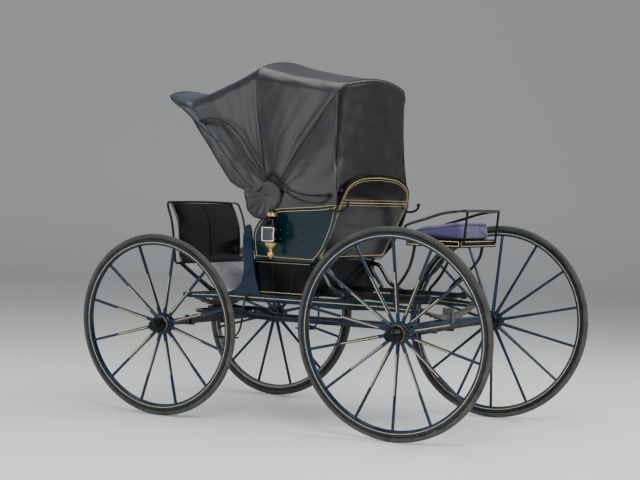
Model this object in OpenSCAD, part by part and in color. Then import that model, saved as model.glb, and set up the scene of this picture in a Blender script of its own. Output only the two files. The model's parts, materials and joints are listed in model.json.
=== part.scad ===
// Spider phaeton: a light four-wheeled open carriage for one horse, with a folding leather hood,
// a boot under the driving seat and a small groom's seat carried on irons behind.
// Millimetres. +X is forward, +Y is left, +Z is up, the wheels stand on Z = 0.

/* [Running gear] */
// Distance between the front and rear axles
wheelbase = 1527; // [1400:1:1700]
// Distance between the front wheels, at hub height
track_front = 1403; // [1300:1:1500]
// Distance between the rear wheels, at hub height
track_rear = 1423; // [1300:1:1500]
// Lean of each wheel's top, outwards, in degrees
camber = 4.43; // [0:0.01:6]

/* [Wheels] */
// Radius of a front wheel over its tyre
front_r = 530.5; // [450:0.5:560]
// Radius of a rear wheel over its tyre
rear_r = 585; // [500:0.5:620]
// Spokes in a front wheel
front_spokes = 12; // [10:2:16]
// Spokes in a rear wheel
rear_spokes = 14; // [10:2:18]
// Thickness of the rubber tyre, along the wheel's radius
tyre_h = 28; // [20:1:34]
// Width of the rubber tyre
tyre_w = 27; // [20:1:34]
// Thickness of the steel channel that holds the rubber
channel_t = 6; // [4:1:8]
// Depth of the wooden felloe, along the wheel's radius
felloe_h = 32; // [26:1:40]
// Width of the wooden felloe
felloe_w = 31; // [26:1:40]
// Distance the spoke roots lie inboard of a front wheel's plane
front_dish = 55; // [30:1:80]
// Distance the spoke roots lie inboard of a rear wheel's plane
rear_dish = 70; // [30:1:90]
// Radius of a spoke at the hub
spoke_r = 12.5; // [9:0.5:15]
// Radius of a spoke at the felloe
spoke_tip_r = 9.5; // [7:0.5:12]
// Radius of the hub's flanges beside the spokes
hub_flange_r = 62; // [50:1:75]
// Radius of the hub's outer collar
hub_collar_r = 49; // [40:1:58]
// Radius of the hub cap
hub_cap_r = 31; // [24:1:38]
// Distance the hub cap's end lies outboard of the wheel's plane
hub_cap_out = 55; // [40:1:70]
// Length of the hub barrel inboard of the spoke roots
hub_in = 62; // [45:1:80]

/* [Axles and steering] */
// Radius of the axle spindles
spindle_r = 17; // [13:0.5:20]
// Running clearance of each spindle and pin, on its radius
fit = 0.05; // [0.02:0.01:0.1]
// Height of the iron axle beams
beam_h = 34; // [26:1:40]
// Depth of the iron axle beams, front to back
beam_d = 36; // [28:1:44]
// Height of the wooden bed over an axle, at the middle
bed_h = 21; // [16:1:40]
// Outer radius of the fifth wheel's rings
ring_r = 165; // [120:1:200]
// Thickness of each fifth-wheel ring
ring_t = 8; // [6:1:12]
// Radius of the king pin
king_r = 13; // [9:0.5:16]
// Distance of each shaft coupling from the middle
coupling_y = 362; // [300:1:420]
// Radius of the bolt bore in each shaft coupling
coupling_bore_r = 7; // [5:0.5:9]

/* [Springs and rails] */
// Distance of each side rail from the middle
rail_y = 391; // [360:1:410]
// Thickness of each side rail
rail_t = 36; // [28:1:42]
// Height of the rails' flat top
rail_top = 728; // [700:1:760]
// Depth of the rails at mid length
rail_h = 46; // [34:1:60]
// Thickness of each spring leaf
leaf_t = 7; // [5:0.5:9]
// Width of the spring leaves
leaf_w = 45; // [36:1:54]
// Number of leaves in each spring
leaf_n = 4; // [3:1:6]
// Distance of each perch bar from the middle
perch_y = 150; // [120:1:200]
// Height of the perch bars' centre line
perch_z = 566; // [540:1:590]
// Side of the square perch bars
perch_t = 24; // [18:1:30]

/* [Body] */
// Half width of the body at the seat
tub_y = 424; // [400:1:440]
// Half width of the body at its top rail
tub_top_y = 452; // [430:1:470]
// Height of the seat board's top
seat_z = 945; // [900:1:980]
// Height of the body's top rail at the rear corner
tub_top_z = 1267; // [1230:1:1300]
// Height of the back panel's arched top, at the middle
back_top_z = 1445; // [1400:1:1480]
// Thickness of the body's wooden panels
panel_t = 14; // [10:1:20]
// Half width of the boot under the seat
boot_y = 394; // [360:1:394]
// Thickness of the boot's boards
board_t = 16; // [12:1:22]

/* [Footwell and dash] */
// Thickness of the floor and toe board
floor_t = 14; // [10:1:20]
// Thickness of the ribbed rubber mat
mat_t = 6; // [4:1:9]
// Half width of the dash leather, at its foot
dash_y = 331; // [300:1:350]
// Half width over the dash irons
dash_iron_y = 410; // [390:1:430]
// Radius of the dash irons
dash_iron_r = 7; // [5:0.5:9]

/* [Hood] */
// Height of the hood pivots
pivot_z = 1300; // [1280:1:1330]
// Radius of the hood pivots' pins
hood_pin_r = 8; // [6:0.5:10]
// Thickness of each bow's flat iron foot
bow_iron_t = 7; // [5:0.5:8]
// Radius of the covered bows
bow_r = 10; // [8:0.5:13]
// Lean of the rear bow from straight ahead, in degrees
rear_bow_a = 123.5; // [118:0.5:128]
// Lean of the middle bow, in degrees
mid_bow_a = 80; // [74:0.5:86]
// Lean of the front bow, in degrees
front_bow_a = 42.5; // [38:0.5:46]
// Thickness of the hood leather
leather_t = 3; // [2:0.5:4]
// Reach of the peak ahead of the front bow
visor_reach = 190; // [150:5:240]

/* [Groom's seat] */
// Half width of the seat box
rumble_y = 251; // [220:1:280]
// Height of the seat box's underside
rumble_z = 1050; // [1020:1:1080]
// Depth of the seat box's board
rumble_t = 43; // [34:1:54]
// Radius of the seat's iron rail
rumble_rail_r = 8; // [6:0.5:10]

/* [Hidden] */
$fn = 48;
xr = -(wheelbase + front_r - rear_r) / 2;   // rear axle
xf = xr + wheelbase;                        // front axle
zr = (rear_r - tyre_w / 2) * cos(camber) + tyre_w / 2;
zf = (front_r - tyre_w / 2) * cos(camber) + tyre_w / 2;
hub_gap = 6;                                // between a hub's inner end and its axle collar
nave_t = 20;                                // half the thickness of a hub between its flanges
spindle_out = 40;                           // spindle beyond the outer flange
spring_y = 345;                             // half the span of each cross spring
rail_end_z = 697;                           // rail eyes
bed_w = 48;                                 // depth of the wooden beds
transom_h = 30;                             // block over the fifth wheel
bar_y = 250;                                // inner bars
bar_z = 744;
bar_h = 26;
px = xr + 950;                              // hood pivots
leather_gap = 0.9;
skin_off = bow_r + leather_gap + leather_t;

// ---------------------------------------------------------------- helpers

// A smooth curve through points p, with n steps between neighbours.
function smooth(p, n = 6) = [for (i = [0 : len(p) - 2]) for (j = [0 : n - 1])
    let (a = p[max(i - 1, 0)], b = p[i], c = p[i + 1], d = p[min(i + 2, len(p) - 1)], t = j / n)
    0.5 * (2 * b + (c - a) * t + (2 * a - 5 * b + 4 * c - d) * t * t
           + (3 * b - a - 3 * c + d) * t * t * t), p[len(p) - 1]];
function unit(v) = v / norm(v);
function tangent(p, i) = unit(p[min(i + 1, len(p) - 1)] - p[max(i - 1, 0)]);
// The points of a flat bar of width w along the 2-D curve p.
function ribbon(p, w) = [for (i = [0 : len(p) - 1]) let (t = tangent(p, i)) p[i] + [-t[1], t[0]] * w / 2,
    for (i = [len(p) - 1 : -1 : 0]) let (t = tangent(p, i)) p[i] - [-t[1], t[0]] * w / 2];
// Points given from the rear axle, moved into the part's frame.
function at_rear(p) = [for (q = p) len(q) == 3 ? q + [xr, 0, 0] : q + [xr, 0]];
function at_front(p) = [for (q = p) len(q) == 3 ? q + [xf - 1527, 0, 0] : q + [xf - 1527, 0]];

// Side directions along p, each turned as little as possible from the one before.
function frames(p, b, i = 0) = i == len(p) ? [] : let (t = tangent(p, i), c = unit(b - (b * t) * t))
    concat([c], frames(p, c, i + 1));
// A round rod of radius r along the 3-D points p; ref is a direction the first stretch doesn't run along.
module rod(p, r, ref = [0, 1, 0], sides = 10) {
    n = len(p);
    f = frames(p, cross(tangent(p, 0), ref));
    ring = [for (i = [0 : n - 1]) let (b = f[i], u = cross(b, tangent(p, i)))
        for (k = [0 : sides - 1]) p[i] + r * (cos(360 * k / sides) * b + sin(360 * k / sides) * u)];
    polyhedron(ring, concat(
        [[for (k = [sides - 1 : -1 : 0]) k]],
        [for (i = [0 : n - 2]) for (k = [0 : sides - 1]) let (m = (k + 1) % sides)
            [i * sides + k, i * sides + m, (i + 1) * sides + m, (i + 1) * sides + k]],
        [[for (k = [0 : sides - 1]) (n - 1) * sides + k]]));
}

// A closed skin between the outer grid a and the inner grid b, both lists of equal rows of points.
module skin(a, b) {
    m = len(a); n = len(a[0]); s = m * n;
    function q(i, j) = i * n + j;
    polyhedron([for (row = a) for (v = row) v, for (row = b) for (v = row) v], concat(
        [for (i = [0 : m - 2]) for (j = [0 : n - 2]) each
            [[q(i, j), q(i, j + 1), q(i + 1, j + 1)], [q(i, j), q(i + 1, j + 1), q(i + 1, j)]]],
        [for (i = [0 : m - 2]) for (j = [0 : n - 2]) each
            [[s + q(i, j), s + q(i + 1, j + 1), s + q(i, j + 1)],
             [s + q(i, j), s + q(i + 1, j), s + q(i + 1, j + 1)]]],
        [for (j = [0 : n - 2]) each
            [[q(0, j), s + q(0, j), s + q(0, j + 1)], [q(0, j), s + q(0, j + 1), q(0, j + 1)]]],
        [for (j = [0 : n - 2]) each
            [[q(m - 1, j), s + q(m - 1, j + 1), s + q(m - 1, j)],
             [q(m - 1, j), q(m - 1, j + 1), s + q(m - 1, j + 1)]]],
        [for (i = [0 : m - 2]) each
            [[q(i, 0), s + q(i + 1, 0), s + q(i, 0)], [q(i, 0), q(i + 1, 0), s + q(i + 1, 0)]]],
        [for (i = [0 : m - 2]) each
            [[q(i, n - 1), s + q(i, n - 1), s + q(i + 1, n - 1)],
             [q(i, n - 1), s + q(i + 1, n - 1), q(i + 1, n - 1)]]]));
}
// Extrudes a side-view outline (X, Z) by t about the plane Y = y.
module side_plate(y, t) { translate([0, y + t / 2, 0]) rotate([90, 0, 0]) linear_extrude(t) children(); }
// Puts a wheel's own axis and plane in place: local Z is outboard, local XY is the wheel's plane.
module at_wheel(x, z, track, side) {
    translate([x, side * track / 2, z]) rotate([-side * (90 + camber), 0, 0]) children();
}
module both_sides() { children(); mirror([0, 1, 0]) children(); }

// ---------------------------------------------------------------- wheels

module tyre(r) {
    color([0.31, 0.28, 0.26]) rotate_extrude($fn = 144) translate([r - tyre_h, 0]) union() {
        translate([0, -tyre_w / 2]) square([tyre_h - tyre_w / 2, tyre_w]);
        translate([tyre_h - tyre_w / 2, 0]) circle(tyre_w / 2, $fn = 32);
    }
}
module wheel(r, n, dish) {
    ro = r - tyre_h - channel_t - felloe_h;
    rise = atan2(dish, ro - nave_t);
    color([0.05, 0.17, 0.27]) difference() {
        union() {
            rotate_extrude($fn = 144) translate([ro, 0]) union() {
                polygon([[0, -felloe_w / 2 + 6], [6, -felloe_w / 2], [felloe_h, -felloe_w / 2],
                    [felloe_h, felloe_w / 2], [6, felloe_w / 2], [0, felloe_w / 2 - 6]]);
                translate([felloe_h, -felloe_w / 2 - 1]) square([channel_t, felloe_w + 2]);
            }
            translate([0, 0, -dish - nave_t]) cylinder(h = 2 * nave_t, r = hub_flange_r);
            for (k = [0 : n - 1]) rotate([0, 0, 360 * (k + 0.5) / n]) translate([nave_t + 8, 0, -dish])
                rotate([0, 90 - rise, 0])
                    cylinder(h = norm([dish, ro - nave_t]) - 2, r1 = spoke_r, r2 = spoke_tip_r, $fn = 20);
        }
        translate([0, 0, -dish - nave_t - 1]) cylinder(h = 2 * nave_t + 2, r = spindle_r + fit);
    }
}
// The collar and cap outboard of the spokes, and the barrel inboard of them.
module hub(dish) {
    f = -dish + nave_t;
    b = -dish - nave_t;
    color([0.06, 0.07, 0.09]) difference() {
        union() {
            translate([0, 0, f]) cylinder(h = 22, r1 = hub_collar_r, r2 = hub_collar_r - 3);
            translate([0, 0, f + 22]) cylinder(h = hub_cap_out - 50 - f - 22, r1 = hub_cap_r + 9,
                r2 = hub_cap_r + 4);
            translate([0, 0, hub_cap_out - 50]) cylinder(h = 44, r = hub_cap_r);
            translate([0, 0, hub_cap_out - 6]) cylinder(h = 6, r1 = hub_cap_r, r2 = hub_cap_r - 6);
        }
        translate([0, 0, f - 1]) cylinder(h = spindle_out + 2, r = spindle_r + fit);
    }
    color([0.06, 0.07, 0.09]) difference() {
        union() {
            translate([0, 0, b - hub_in + nave_t + 14])
                cylinder(h = hub_in - nave_t - 14, r = hub_collar_r);
            translate([0, 0, b - hub_in + nave_t])
                cylinder(h = 14, r1 = hub_collar_r - 7, r2 = hub_collar_r);
        }
        translate([0, 0, b - hub_in]) cylinder(h = hub_in + 1, r = spindle_r + fit);
    }
}

module tyre_front_left() { at_wheel(xf, zf, track_front, 1) tyre(front_r); }
module tyre_front_right() { at_wheel(xf, zf, track_front, -1) tyre(front_r); }
module tyre_rear_left() { at_wheel(xr, zr, track_rear, 1) tyre(rear_r); }
module tyre_rear_right() { at_wheel(xr, zr, track_rear, -1) tyre(rear_r); }
module wheel_front_left() { at_wheel(xf, zf, track_front, 1) wheel(front_r, front_spokes, front_dish); }
module wheel_front_right() { at_wheel(xf, zf, track_front, -1) wheel(front_r, front_spokes, front_dish); }
module wheel_rear_left() { at_wheel(xr, zr, track_rear, 1) wheel(rear_r, rear_spokes, rear_dish); }
module wheel_rear_right() { at_wheel(xr, zr, track_rear, -1) wheel(rear_r, rear_spokes, rear_dish); }
module hub_front_left() { at_wheel(xf, zf, track_front, 1) hub(front_dish); }
module hub_front_right() { at_wheel(xf, zf, track_front, -1) hub(front_dish); }
module hub_rear_left() { at_wheel(xr, zr, track_rear, 1) hub(rear_dish); }
module hub_rear_right() { at_wheel(xr, zr, track_rear, -1) hub(rear_dish); }

// ---------------------------------------------------------------- axles, springs, steering

// Where an axle's beam meets its spindle collar: distance from the middle, and height.
function collar_y(track, dish) = track / 2 - (dish + hub_in + hub_gap) * cos(camber);
function collar_z(z, dish) = z + (dish + hub_in + hub_gap) * sin(camber);

module axle(x, z, track, dish) {
    y = collar_y(track, dish);
    h = collar_z(z, dish);
    color([0.05, 0.06, 0.08]) {
        translate([x - beam_d / 2, -y + 6, h - beam_h / 2]) cube([beam_d, 2 * y - 12, beam_h]);
        for (side = [-1, 1]) at_wheel(x, z, track, side) {
            translate([0, 0, -dish - hub_in - hub_gap - 14]) cylinder(h = 14, r = beam_h / 2 + 8);
            translate([0, 0, -dish - hub_in - hub_gap])
                cylinder(h = hub_in + nave_t + hub_gap + spindle_out, r = spindle_r);
        }
    }
}
// The wooden bed on an axle: thin at its ends, rising to the middle.
module bed(x, z, y, h) {
    color([0.05, 0.13, 0.21]) translate([x - bed_w / 2, 0, z]) rotate([90, 0, 90]) linear_extrude(bed_w)
        polygon([[-y, 0], [y, 0], [y, 12], [110, h], [-110, h], [-y, 12]]);
}
// A half-elliptic spring across the carriage: clamped at the middle, its ends turned up to the rails.
// x is its place along the carriage and z its top at the middle.
module cross_spring(x, z) {
    rise = rail_end_z - z - 1;
    rad = spring_y * spring_y / (2 * rise) + rise / 2;
    color([0.33, 0.33, 0.32]) {
        translate([x - leaf_w / 2, 0, z]) rotate([90, 0, 90])
            linear_extrude(leaf_w) for (i = [0 : leaf_n - 1]) intersection() {
                translate([0, rad]) difference() {
                    circle(rad + (i + 1) * leaf_t, $fn = 720);
                    circle(rad + i * leaf_t, $fn = 720);
                }
                translate([-spring_y + i * 66, -leaf_n * leaf_t - 2]) square([2 * (spring_y - i * 66), 150]);
            }
        both_sides() translate([x - leaf_w / 2, spring_y + 5, rail_end_z]) rotate([0, 90, 0])
            cylinder(h = leaf_w, r = 11);
    }
}
// The block and the two plates that clamp a spring to its bed, whose underside is at z0.
module clamp_block(x, z, z0) {
    color([0.06, 0.08, 0.1]) {
        translate([x - leaf_w / 2, -20, z + 0.3]) cube([leaf_w, 40, 34]);
        for (s = [0, 1]) mirror([s, 0, 0]) translate([(s == 0 ? x : -x) + bed_w / 2 + 0.3, -18, z0])
            cube([6, 36, z + 34.3 - z0]);
        translate([x - bed_w / 2 - 0.3, -18, z + 28]) cube([bed_w + 0.6, 36, 6.3]);
    }
}
// The link that hangs a rail's end on its spring's eye, and the bolt through the rail.
module spring_link(x) {
    color([0.12, 0.12, 0.12]) both_sides() {
        translate([x - 12, spring_y + 16.2, rail_end_z - 12])
            cube([24, rail_y - rail_t / 2 - spring_y - 16.2, 24]);
        translate([x, rail_y + rail_t / 2, rail_end_z]) rotate([-90, 0, 0]) cylinder(h = 16, r = 15, $fn = 24);
    }
}
module rear_axle() { axle(xr, zr, track_rear, rear_dish); }
module rear_bed() {
    z = collar_z(zr, rear_dish) + beam_h / 2;
    bed(xr, z, collar_y(track_rear, rear_dish) - 60, bed_h);
}
module rear_spring() {
    z0 = collar_z(zr, rear_dish) + beam_h / 2;
    z = z0 + bed_h + leaf_n * leaf_t;
    cross_spring(xr, z);
    clamp_block(xr, z, z0);
    spring_link(xr);
}
module front_spring() {
    z0 = collar_z(zf, front_dish) + beam_h / 2 + 14 + 2 * ring_t + 0.3;
    z = z0 + transom_h + leaf_n * leaf_t;
    cross_spring(xf, z);
    clamp_block(xf, z, z0);
    spring_link(xf);
}
module front_axle() {
    difference() {
        axle(xf, zf, track_front, front_dish);
        translate([xf, 0, 400]) cylinder(h = 300, r = king_r + fit);
    }
}
// The turning half of the fifth wheel: the bed on the axle and the lower ring.
module front_bed() {
    z = collar_z(zf, front_dish) + beam_h / 2;
    difference() {
        union() {
            color([0.05, 0.13, 0.21]) translate([xf - bed_w / 2, -300, z]) cube([bed_w, 600, 14]);
            color([0.05, 0.06, 0.08]) {
                translate([xf, 0, z + 14]) difference() {
                    cylinder(h = ring_t, r = ring_r, $fn = 96);
                    translate([0, 0, -1]) cylinder(h = ring_t + 2, r = ring_r - 28, $fn = 96);
                }
                translate([xf - 24, -ring_r + 14, z + 14]) cube([48, 2 * ring_r - 28, ring_t]);
            }
        }
        translate([xf, 0, 400]) cylinder(h = 300, r = king_r + fit);
    }
}
// Clips under the axle that take the ends of a pair of shafts, one bolt each.
module shaft_couplings() {
    z = collar_z(zf, front_dish);
    color([0.07, 0.07, 0.08]) both_sides() {
        translate([xf - beam_d / 2 - 8, coupling_y - 20, z - beam_h / 2 - 8]) cube([beam_d + 16, 40, 8]);
        translate([xf - beam_d / 2 - 8, coupling_y - 20, z - beam_h / 2]) cube([8, 40, beam_h + 14]);
        translate([xf + beam_d / 2, coupling_y - 20, z - beam_h / 2]) cube([8, 40, beam_h + 14]);
        for (s = [-1, 1]) difference() {
            hull_ear(xf + beam_d / 2 + 8, coupling_y + s * 15, z - 6);
            translate([xf + beam_d / 2 + 34, coupling_y - 30, z - 6]) rotate([-90, 0, 0])
                cylinder(h = 60, r = coupling_bore_r);
        }
    }
}
module hull_ear(x, y, z) {
    translate([x, y - 5, z - 15]) cube([26, 10, 30]);
    translate([x + 26, y - 5, z]) rotate([-90, 0, 0]) cylinder(h = 10, r = 15);
}
// The fixed half of the fifth wheel: the upper ring, the transom over it and the king pin.
module fifth_wheel() {
    z = collar_z(zf, front_dish) + beam_h / 2 + 14 + ring_t + 0.3;
    color([0.05, 0.06, 0.08]) {
        translate([xf, 0, z]) difference() {
            cylinder(h = ring_t, r = ring_r, $fn = 96);
            translate([0, 0, -1]) cylinder(h = ring_t + 2, r = ring_r - 28, $fn = 96);
        }
        translate([xf - bed_w / 2, -ring_r + 14, z]) cube([bed_w, 2 * ring_r - 28, ring_t]);
        translate([xf, 0, z - ring_t - 14 - beam_h - 14]) cylinder(h = ring_t + beam_h + 30, r = king_r);
        translate([xf, 0, z - ring_t - 14 - beam_h - 16]) cylinder(h = 12, r = king_r + 8, $fn = 24);
        translate([xf - bed_w / 2, -130, z + ring_t]) cube([bed_w, 260, transom_h]);
    }
}
module perch() {
    z = collar_z(zf, front_dish) + beam_h / 2 + 14 + ring_t + 0.3;
    path = smooth([[xr + beam_d / 2, perch_z], [xr + 500, perch_z], [xf - 420, perch_z],
        [xf - 280, perch_z + 8], [xf - 200, z + ring_t + perch_t / 2 + 0.8],
        [xf - 100, z + ring_t + perch_t / 2 + 0.8], [xf - bed_w / 2 - 0.3, z + ring_t + perch_t / 2 + 0.8]], 5);
    color([0.05, 0.09, 0.13]) both_sides() side_plate(perch_y - 34, perch_t) polygon(ribbon(path, perch_t));
}
module rail() {
    zt = rail_top;
    zb = rail_top - rail_h;
    color([0.06, 0.19, 0.3]) side_plate(rail_y, rail_t) polygon(concat(
        smooth([[xr - 22, rail_end_z], [xr - 14, rail_end_z + 14], [xr + 4, rail_end_z + 16],
            [xr + 60, rail_end_z + 18], [xr + 160, zt - 3], [xr + 240, zt]], 4),
        smooth([[xf - 260, zt], [xf - 150, zt - 4], [xf - 40, rail_end_z + 17], [xf, rail_end_z + 16],
            [xf + 16, rail_end_z + 12], [xf + 22, rail_end_z], [xf + 14, rail_end_z - 14],
            [xf - 10, rail_end_z - 16], [xf - 60, rail_end_z - 17], [xf - 200, zb + 4]], 4),
        [[xf - 500, zb]],
        smooth([[xr + 700, zb], [xr + 560, zb - 8], [xr + 420, zb - 8], [xr + 260, zb],
            [xr + 60, rail_end_z - 16], [xr, rail_end_z - 17], [xr - 16, rail_end_z - 12]], 4)));
}
module rail_left() { rail(); }
module rail_right() { mirror([0, 1, 0]) rail(); }
// Two inner bars on cross members, which carry the irons of the groom's seat.
module seat_bars() {
    color([0.05, 0.05, 0.06]) {
        both_sides() {
            translate([xr + 20, bar_y - 14, bar_z]) cube([boot_rear - 20, 28, bar_h]);
            translate([xr + 20, bar_y - 14, bar_z + bar_h / 2]) rotate([-90, 0, 0]) cylinder(h = 28, r = 22);
        }
        for (x = [120, 400]) translate([xr + x, -rail_y - rail_t / 2, rail_top])
            cube([36, 2 * rail_y + rail_t, bar_z - rail_top]);
    }
}

// ---------------------------------------------------------------- body

boot_front = 1075;
boot_rear = 690;
module boot() {
    w = boot_y;
    h = seat_z - board_t - rail_top;
    color([0.02, 0.02, 0.025]) translate([xr + boot_rear, -w, rail_top]) difference() {
        cube([boot_front - boot_rear, 2 * w, h]);
        translate([board_t, board_t, board_t])
            cube([boot_front - boot_rear - 2 * board_t, 2 * w - 2 * board_t, h]);
    }
    color([0.02, 0.02, 0.025]) translate([xr + 682, 0.4 - tub_y + panel_t, seat_z - board_t])
        cube([1054 - 682, 2 * tub_y - 2 * panel_t - 0.8, board_t]);
}
// A side of the seat: it leans out from the boot's top to the top rail.
module tub_side() {
    lean = atan2(tub_top_y - tub_y, 281);
    translate([0, tub_y - panel_t, seat_z - board_t]) rotate([-lean, 0, 0]) rotate([90, 0, 0])
        translate([0, 0, -panel_t]) linear_extrude(panel_t) polygon([for (q = concat(
            [[1050, 0], [664, 0]],
            smooth([[664, 0], [600, 70], [560, 150], [524, 240], [504, tub_top_z - seat_z + board_t]], 5),
            smooth([[504, tub_top_z - seat_z + board_t], [620, 320], [760, 310], [860, 302], [930, 288],
                [985, 256], [1030, 210], [1058, 150], [1058, 80], [1050, 0]], 4))) q + [xr, 0]]);
}
module tub_left() { color([0.04, 0.12, 0.16]) tub_side(); }
module tub_right() { color([0.04, 0.12, 0.16]) mirror([0, 1, 0]) tub_side(); }
// The panel behind the seat: an S in side view, its outline rising to an arch.
back_curve = [[664, 929], [640, 948], [596, 1040], [546, 1150], [500, 1267], [480, 1350], [470, 1450]];
module back_panel() {
    p = smooth(at_rear(back_curve), 4);
    z0 = seat_z - board_t;
    k = tub_top_z;
    color([0.02, 0.025, 0.03]) intersection() {
        translate([0, 500, 0]) rotate([90, 0, 0]) linear_extrude(1000)
            polygon(concat(p, [for (i = [len(p) - 1 : -1 : 0]) p[i] + [panel_t + 1, 0]]));
        translate([xr, 0, 0]) rotate([90, 0, 90]) linear_extrude(900) polygon(smooth(concat(
            [[tub_y - panel_t - 0.7, z0], [tub_y + 1.8, (z0 + k) / 2], [tub_top_y - 11.6, k - 20], [tub_top_y - 18, k + 24],
                [tub_top_y - 42, k + 84], [tub_top_y - 90, k + 124], [230, back_top_z - 14]],
            [[0, back_top_z], [-230, back_top_z - 14], [90 - tub_top_y, k + 124], [42 - tub_top_y, k + 84],
                [18 - tub_top_y, k + 24], [11.6 - tub_top_y, k - 20], [-tub_y - 1.8, (z0 + k) / 2],
                [panel_t + 0.7 - tub_y, z0]]), 4));
    }
}
// The forged posts that stand on the rails at the seat's front corners.
module pillars() {
    lean = atan2(30, 370);
    color([0.06, 0.19, 0.3]) both_sides() translate([0, rail_y + rail_t / 2, rail_top + 0.1])
        rotate([-lean, 0, 0]) rotate([90, 0, 0]) linear_extrude(14) polygon([for (q = concat(
            [[1020, 0]], smooth([[1240, 0], [1180, 24], [1140, 72], [1128, 152], [1130, 252], [1128, 342],
            [1108, 394], [1088, 400], [1076, 372], [1070, 292], [1060, 172], [1042, 72], [1020, 0]], 4)))
            q + [xr, 0]]);
}
// Forged C-shaped irons from the seat's rear corners down to the rails and bars.
module body_irons() {
    x = boot_rear - 0.4;
    color([0.03, 0.03, 0.035]) {
        both_sides() rod(at_rear(smooth([[x, boot_y - 14, 905], [x - 16, boot_y - 14, 904],
            [642, boot_y - 14, 892], [608, boot_y - 14, 846], [568, boot_y - 14, 792],
            [510, boot_y - 14, 762], [486, boot_y - 14, 750], [484, boot_y - 14, rail_top + 0.8]], 4)), 13);
        both_sides() rod(at_rear(smooth([[x, 270, 900], [x - 16, 270, 899], [646, 268, 886],
            [612, 260, 840], [582, 252, 806], [564, bar_y, 786], [561, bar_y, bar_z + bar_h + 0.8]], 4)), 11);
    }
}
module seat_cushion() {
    color([0.22, 0.2, 0.4]) translate([xr + 690, 10 - tub_y + panel_t, seat_z + 0.3])
        cube([360, 2 * (tub_y - panel_t - 10), 105]);
}
module seat_back() {
    color([0.22, 0.2, 0.4]) translate([0, 385, 0]) rotate([90, 0, 0]) linear_extrude(770)
        polygon(at_rear([[619, 1050.8], [691, 1050.8], [608, 1352], [528, 1352]]));
}

// ---------------------------------------------------------------- footwell and dash

dash_foot = [1610, 880];                     // middle of the dash's foot rail
toe0 = [1371, 718];
toe_d = unit([241, 160]);
toe = [toe0, toe0 + toe_d * ((dash_foot - toe0) * toe_d - dash_iron_r - 0.4)];
module floor_boards() {
    y = rail_y - rail_t / 2;
    d = unit(toe[1] - toe[0]);
    n = [-d[1], d[0]];
    color([0.03, 0.03, 0.035]) translate([0, y, 0]) rotate([90, 0, 0]) linear_extrude(2 * y)
        polygon(at_rear([[boot_front, 712], [1371, 712], toe[1] - n * 4, toe[1] + n * (floor_t - 4),
            toe[0] + n * (floor_t - 4) + [-4, 0], [boot_front, 712 + floor_t]]));
}
module floor_mat() {
    d = unit(toe[1] - toe[0]);
    n = [-d[1], d[0]];
    z = 712 + floor_t + 0.2;
    a = toe[0] + n * (floor_t - 3.8) + [-4, 0];
    b = toe[1] + n * (floor_t - 3.8) - d * 20;
    color([0.5, 0.5, 0.52]) translate([0, 350, 0]) rotate([90, 0, 0]) linear_extrude(700)
        polygon(at_rear([[boot_front + 2, z], a + [0.5, 0.2], b, b + n * mat_t, a + n * mat_t + [-1, 0],
            [boot_front + 2, z + mat_t]]));
}
dash = [[1613, 890], [1628, 925], [1634, 1030], [1650, 1130], [1700, 1230]];
module dash_leather() {
    p = at_rear(smooth(dash, 5));
    color([0.02, 0.02, 0.022]) translate([0, dash_y, 0]) rotate([90, 0, 0])
        linear_extrude(2 * dash_y) polygon(ribbon(p, 6));
}
module dash_irons() {
    r = dash_iron_r;
    p = smooth(dash, 5);
    color([0.02, 0.02, 0.022]) {
        both_sides() {
            rod(at_rear([for (q = p) [q[0], dash_y + r + 0.3, q[1]]]), r);
            rod(at_rear(smooth([[1611, dash_y + r, 881], [1615, 372, 876], [1615, 398, 880],
                [1616, dash_iron_y, 905], [1630, dash_iron_y, 1021], [1649, dash_iron_y, 1130],
                [1681, dash_iron_y - 3, 1215], [1690, 390, 1236], [1696, 365, 1240],
                [1700, dash_y + r, 1236]], 4)), r, [0.9, 0.1, 0.3]);
        }
        rod(at_rear([[1704, -dash_y - r, 1239], [1705, -150, 1242], [1705, 0, 1243], [1705, 150, 1242],
            [1704, dash_y + r, 1239]]), r, [1, 0, 0]);
        rod(at_rear([for (k = [-1, 0, 1]) [dash_foot[0], k * (dash_y + r), dash_foot[1]]]), r, [1, 0, 0]);
    }
}
module step_side() {
    color([0.03, 0.03, 0.035]) {
        rod(at_rear(concat([[1105, rail_y + rail_t / 2 + 0.8, 702]], smooth([[1105, rail_y + rail_t / 2 + 8, 702],
            [1105, 428, 698], [1104, 450, 640], [1104, 462, 560], [1116, 470, 505], [1150, 470, 474],
            [1200, 470, 466]], 4))), 8, [1, 0, 0]);
        translate([xr + 1130, 420, 462]) cube([130, 110, 8]);
    }
}
module step_left() { step_side(); }
module step_right() { mirror([0, 1, 0]) step_side(); }
module lamp_side() {
    translate([xr + 895, 500, 0]) {
        color([0.72, 0.6, 0.35]) {
            translate([0, 0, 948]) cylinder(h = 60, r1 = 6, r2 = 14);
            translate([0, 0, 1008]) cylinder(h = 28, r1 = 16, r2 = 34);
            translate([0, 0, 1180]) cylinder(h = 26, r1 = 30, r2 = 16);
        }
        color([0.03, 0.03, 0.035]) {
            translate([-38, -38, 1036]) cube([76, 76, 92]);
            translate([0, 0, 1128]) cylinder(h = 26, r1 = 36, r2 = 26);
            translate([0, 0, 1154]) cylinder(h = 26, r = 24);
            translate([-12, -59.6, 1060]) cube([24, 23, 30]);
        }
    }
}
module lamp_left() { lamp_side(); }
module lamp_right() { mirror([0, 1, 0]) lamp_side(); }

// ---------------------------------------------------------------- groom's seat

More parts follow.
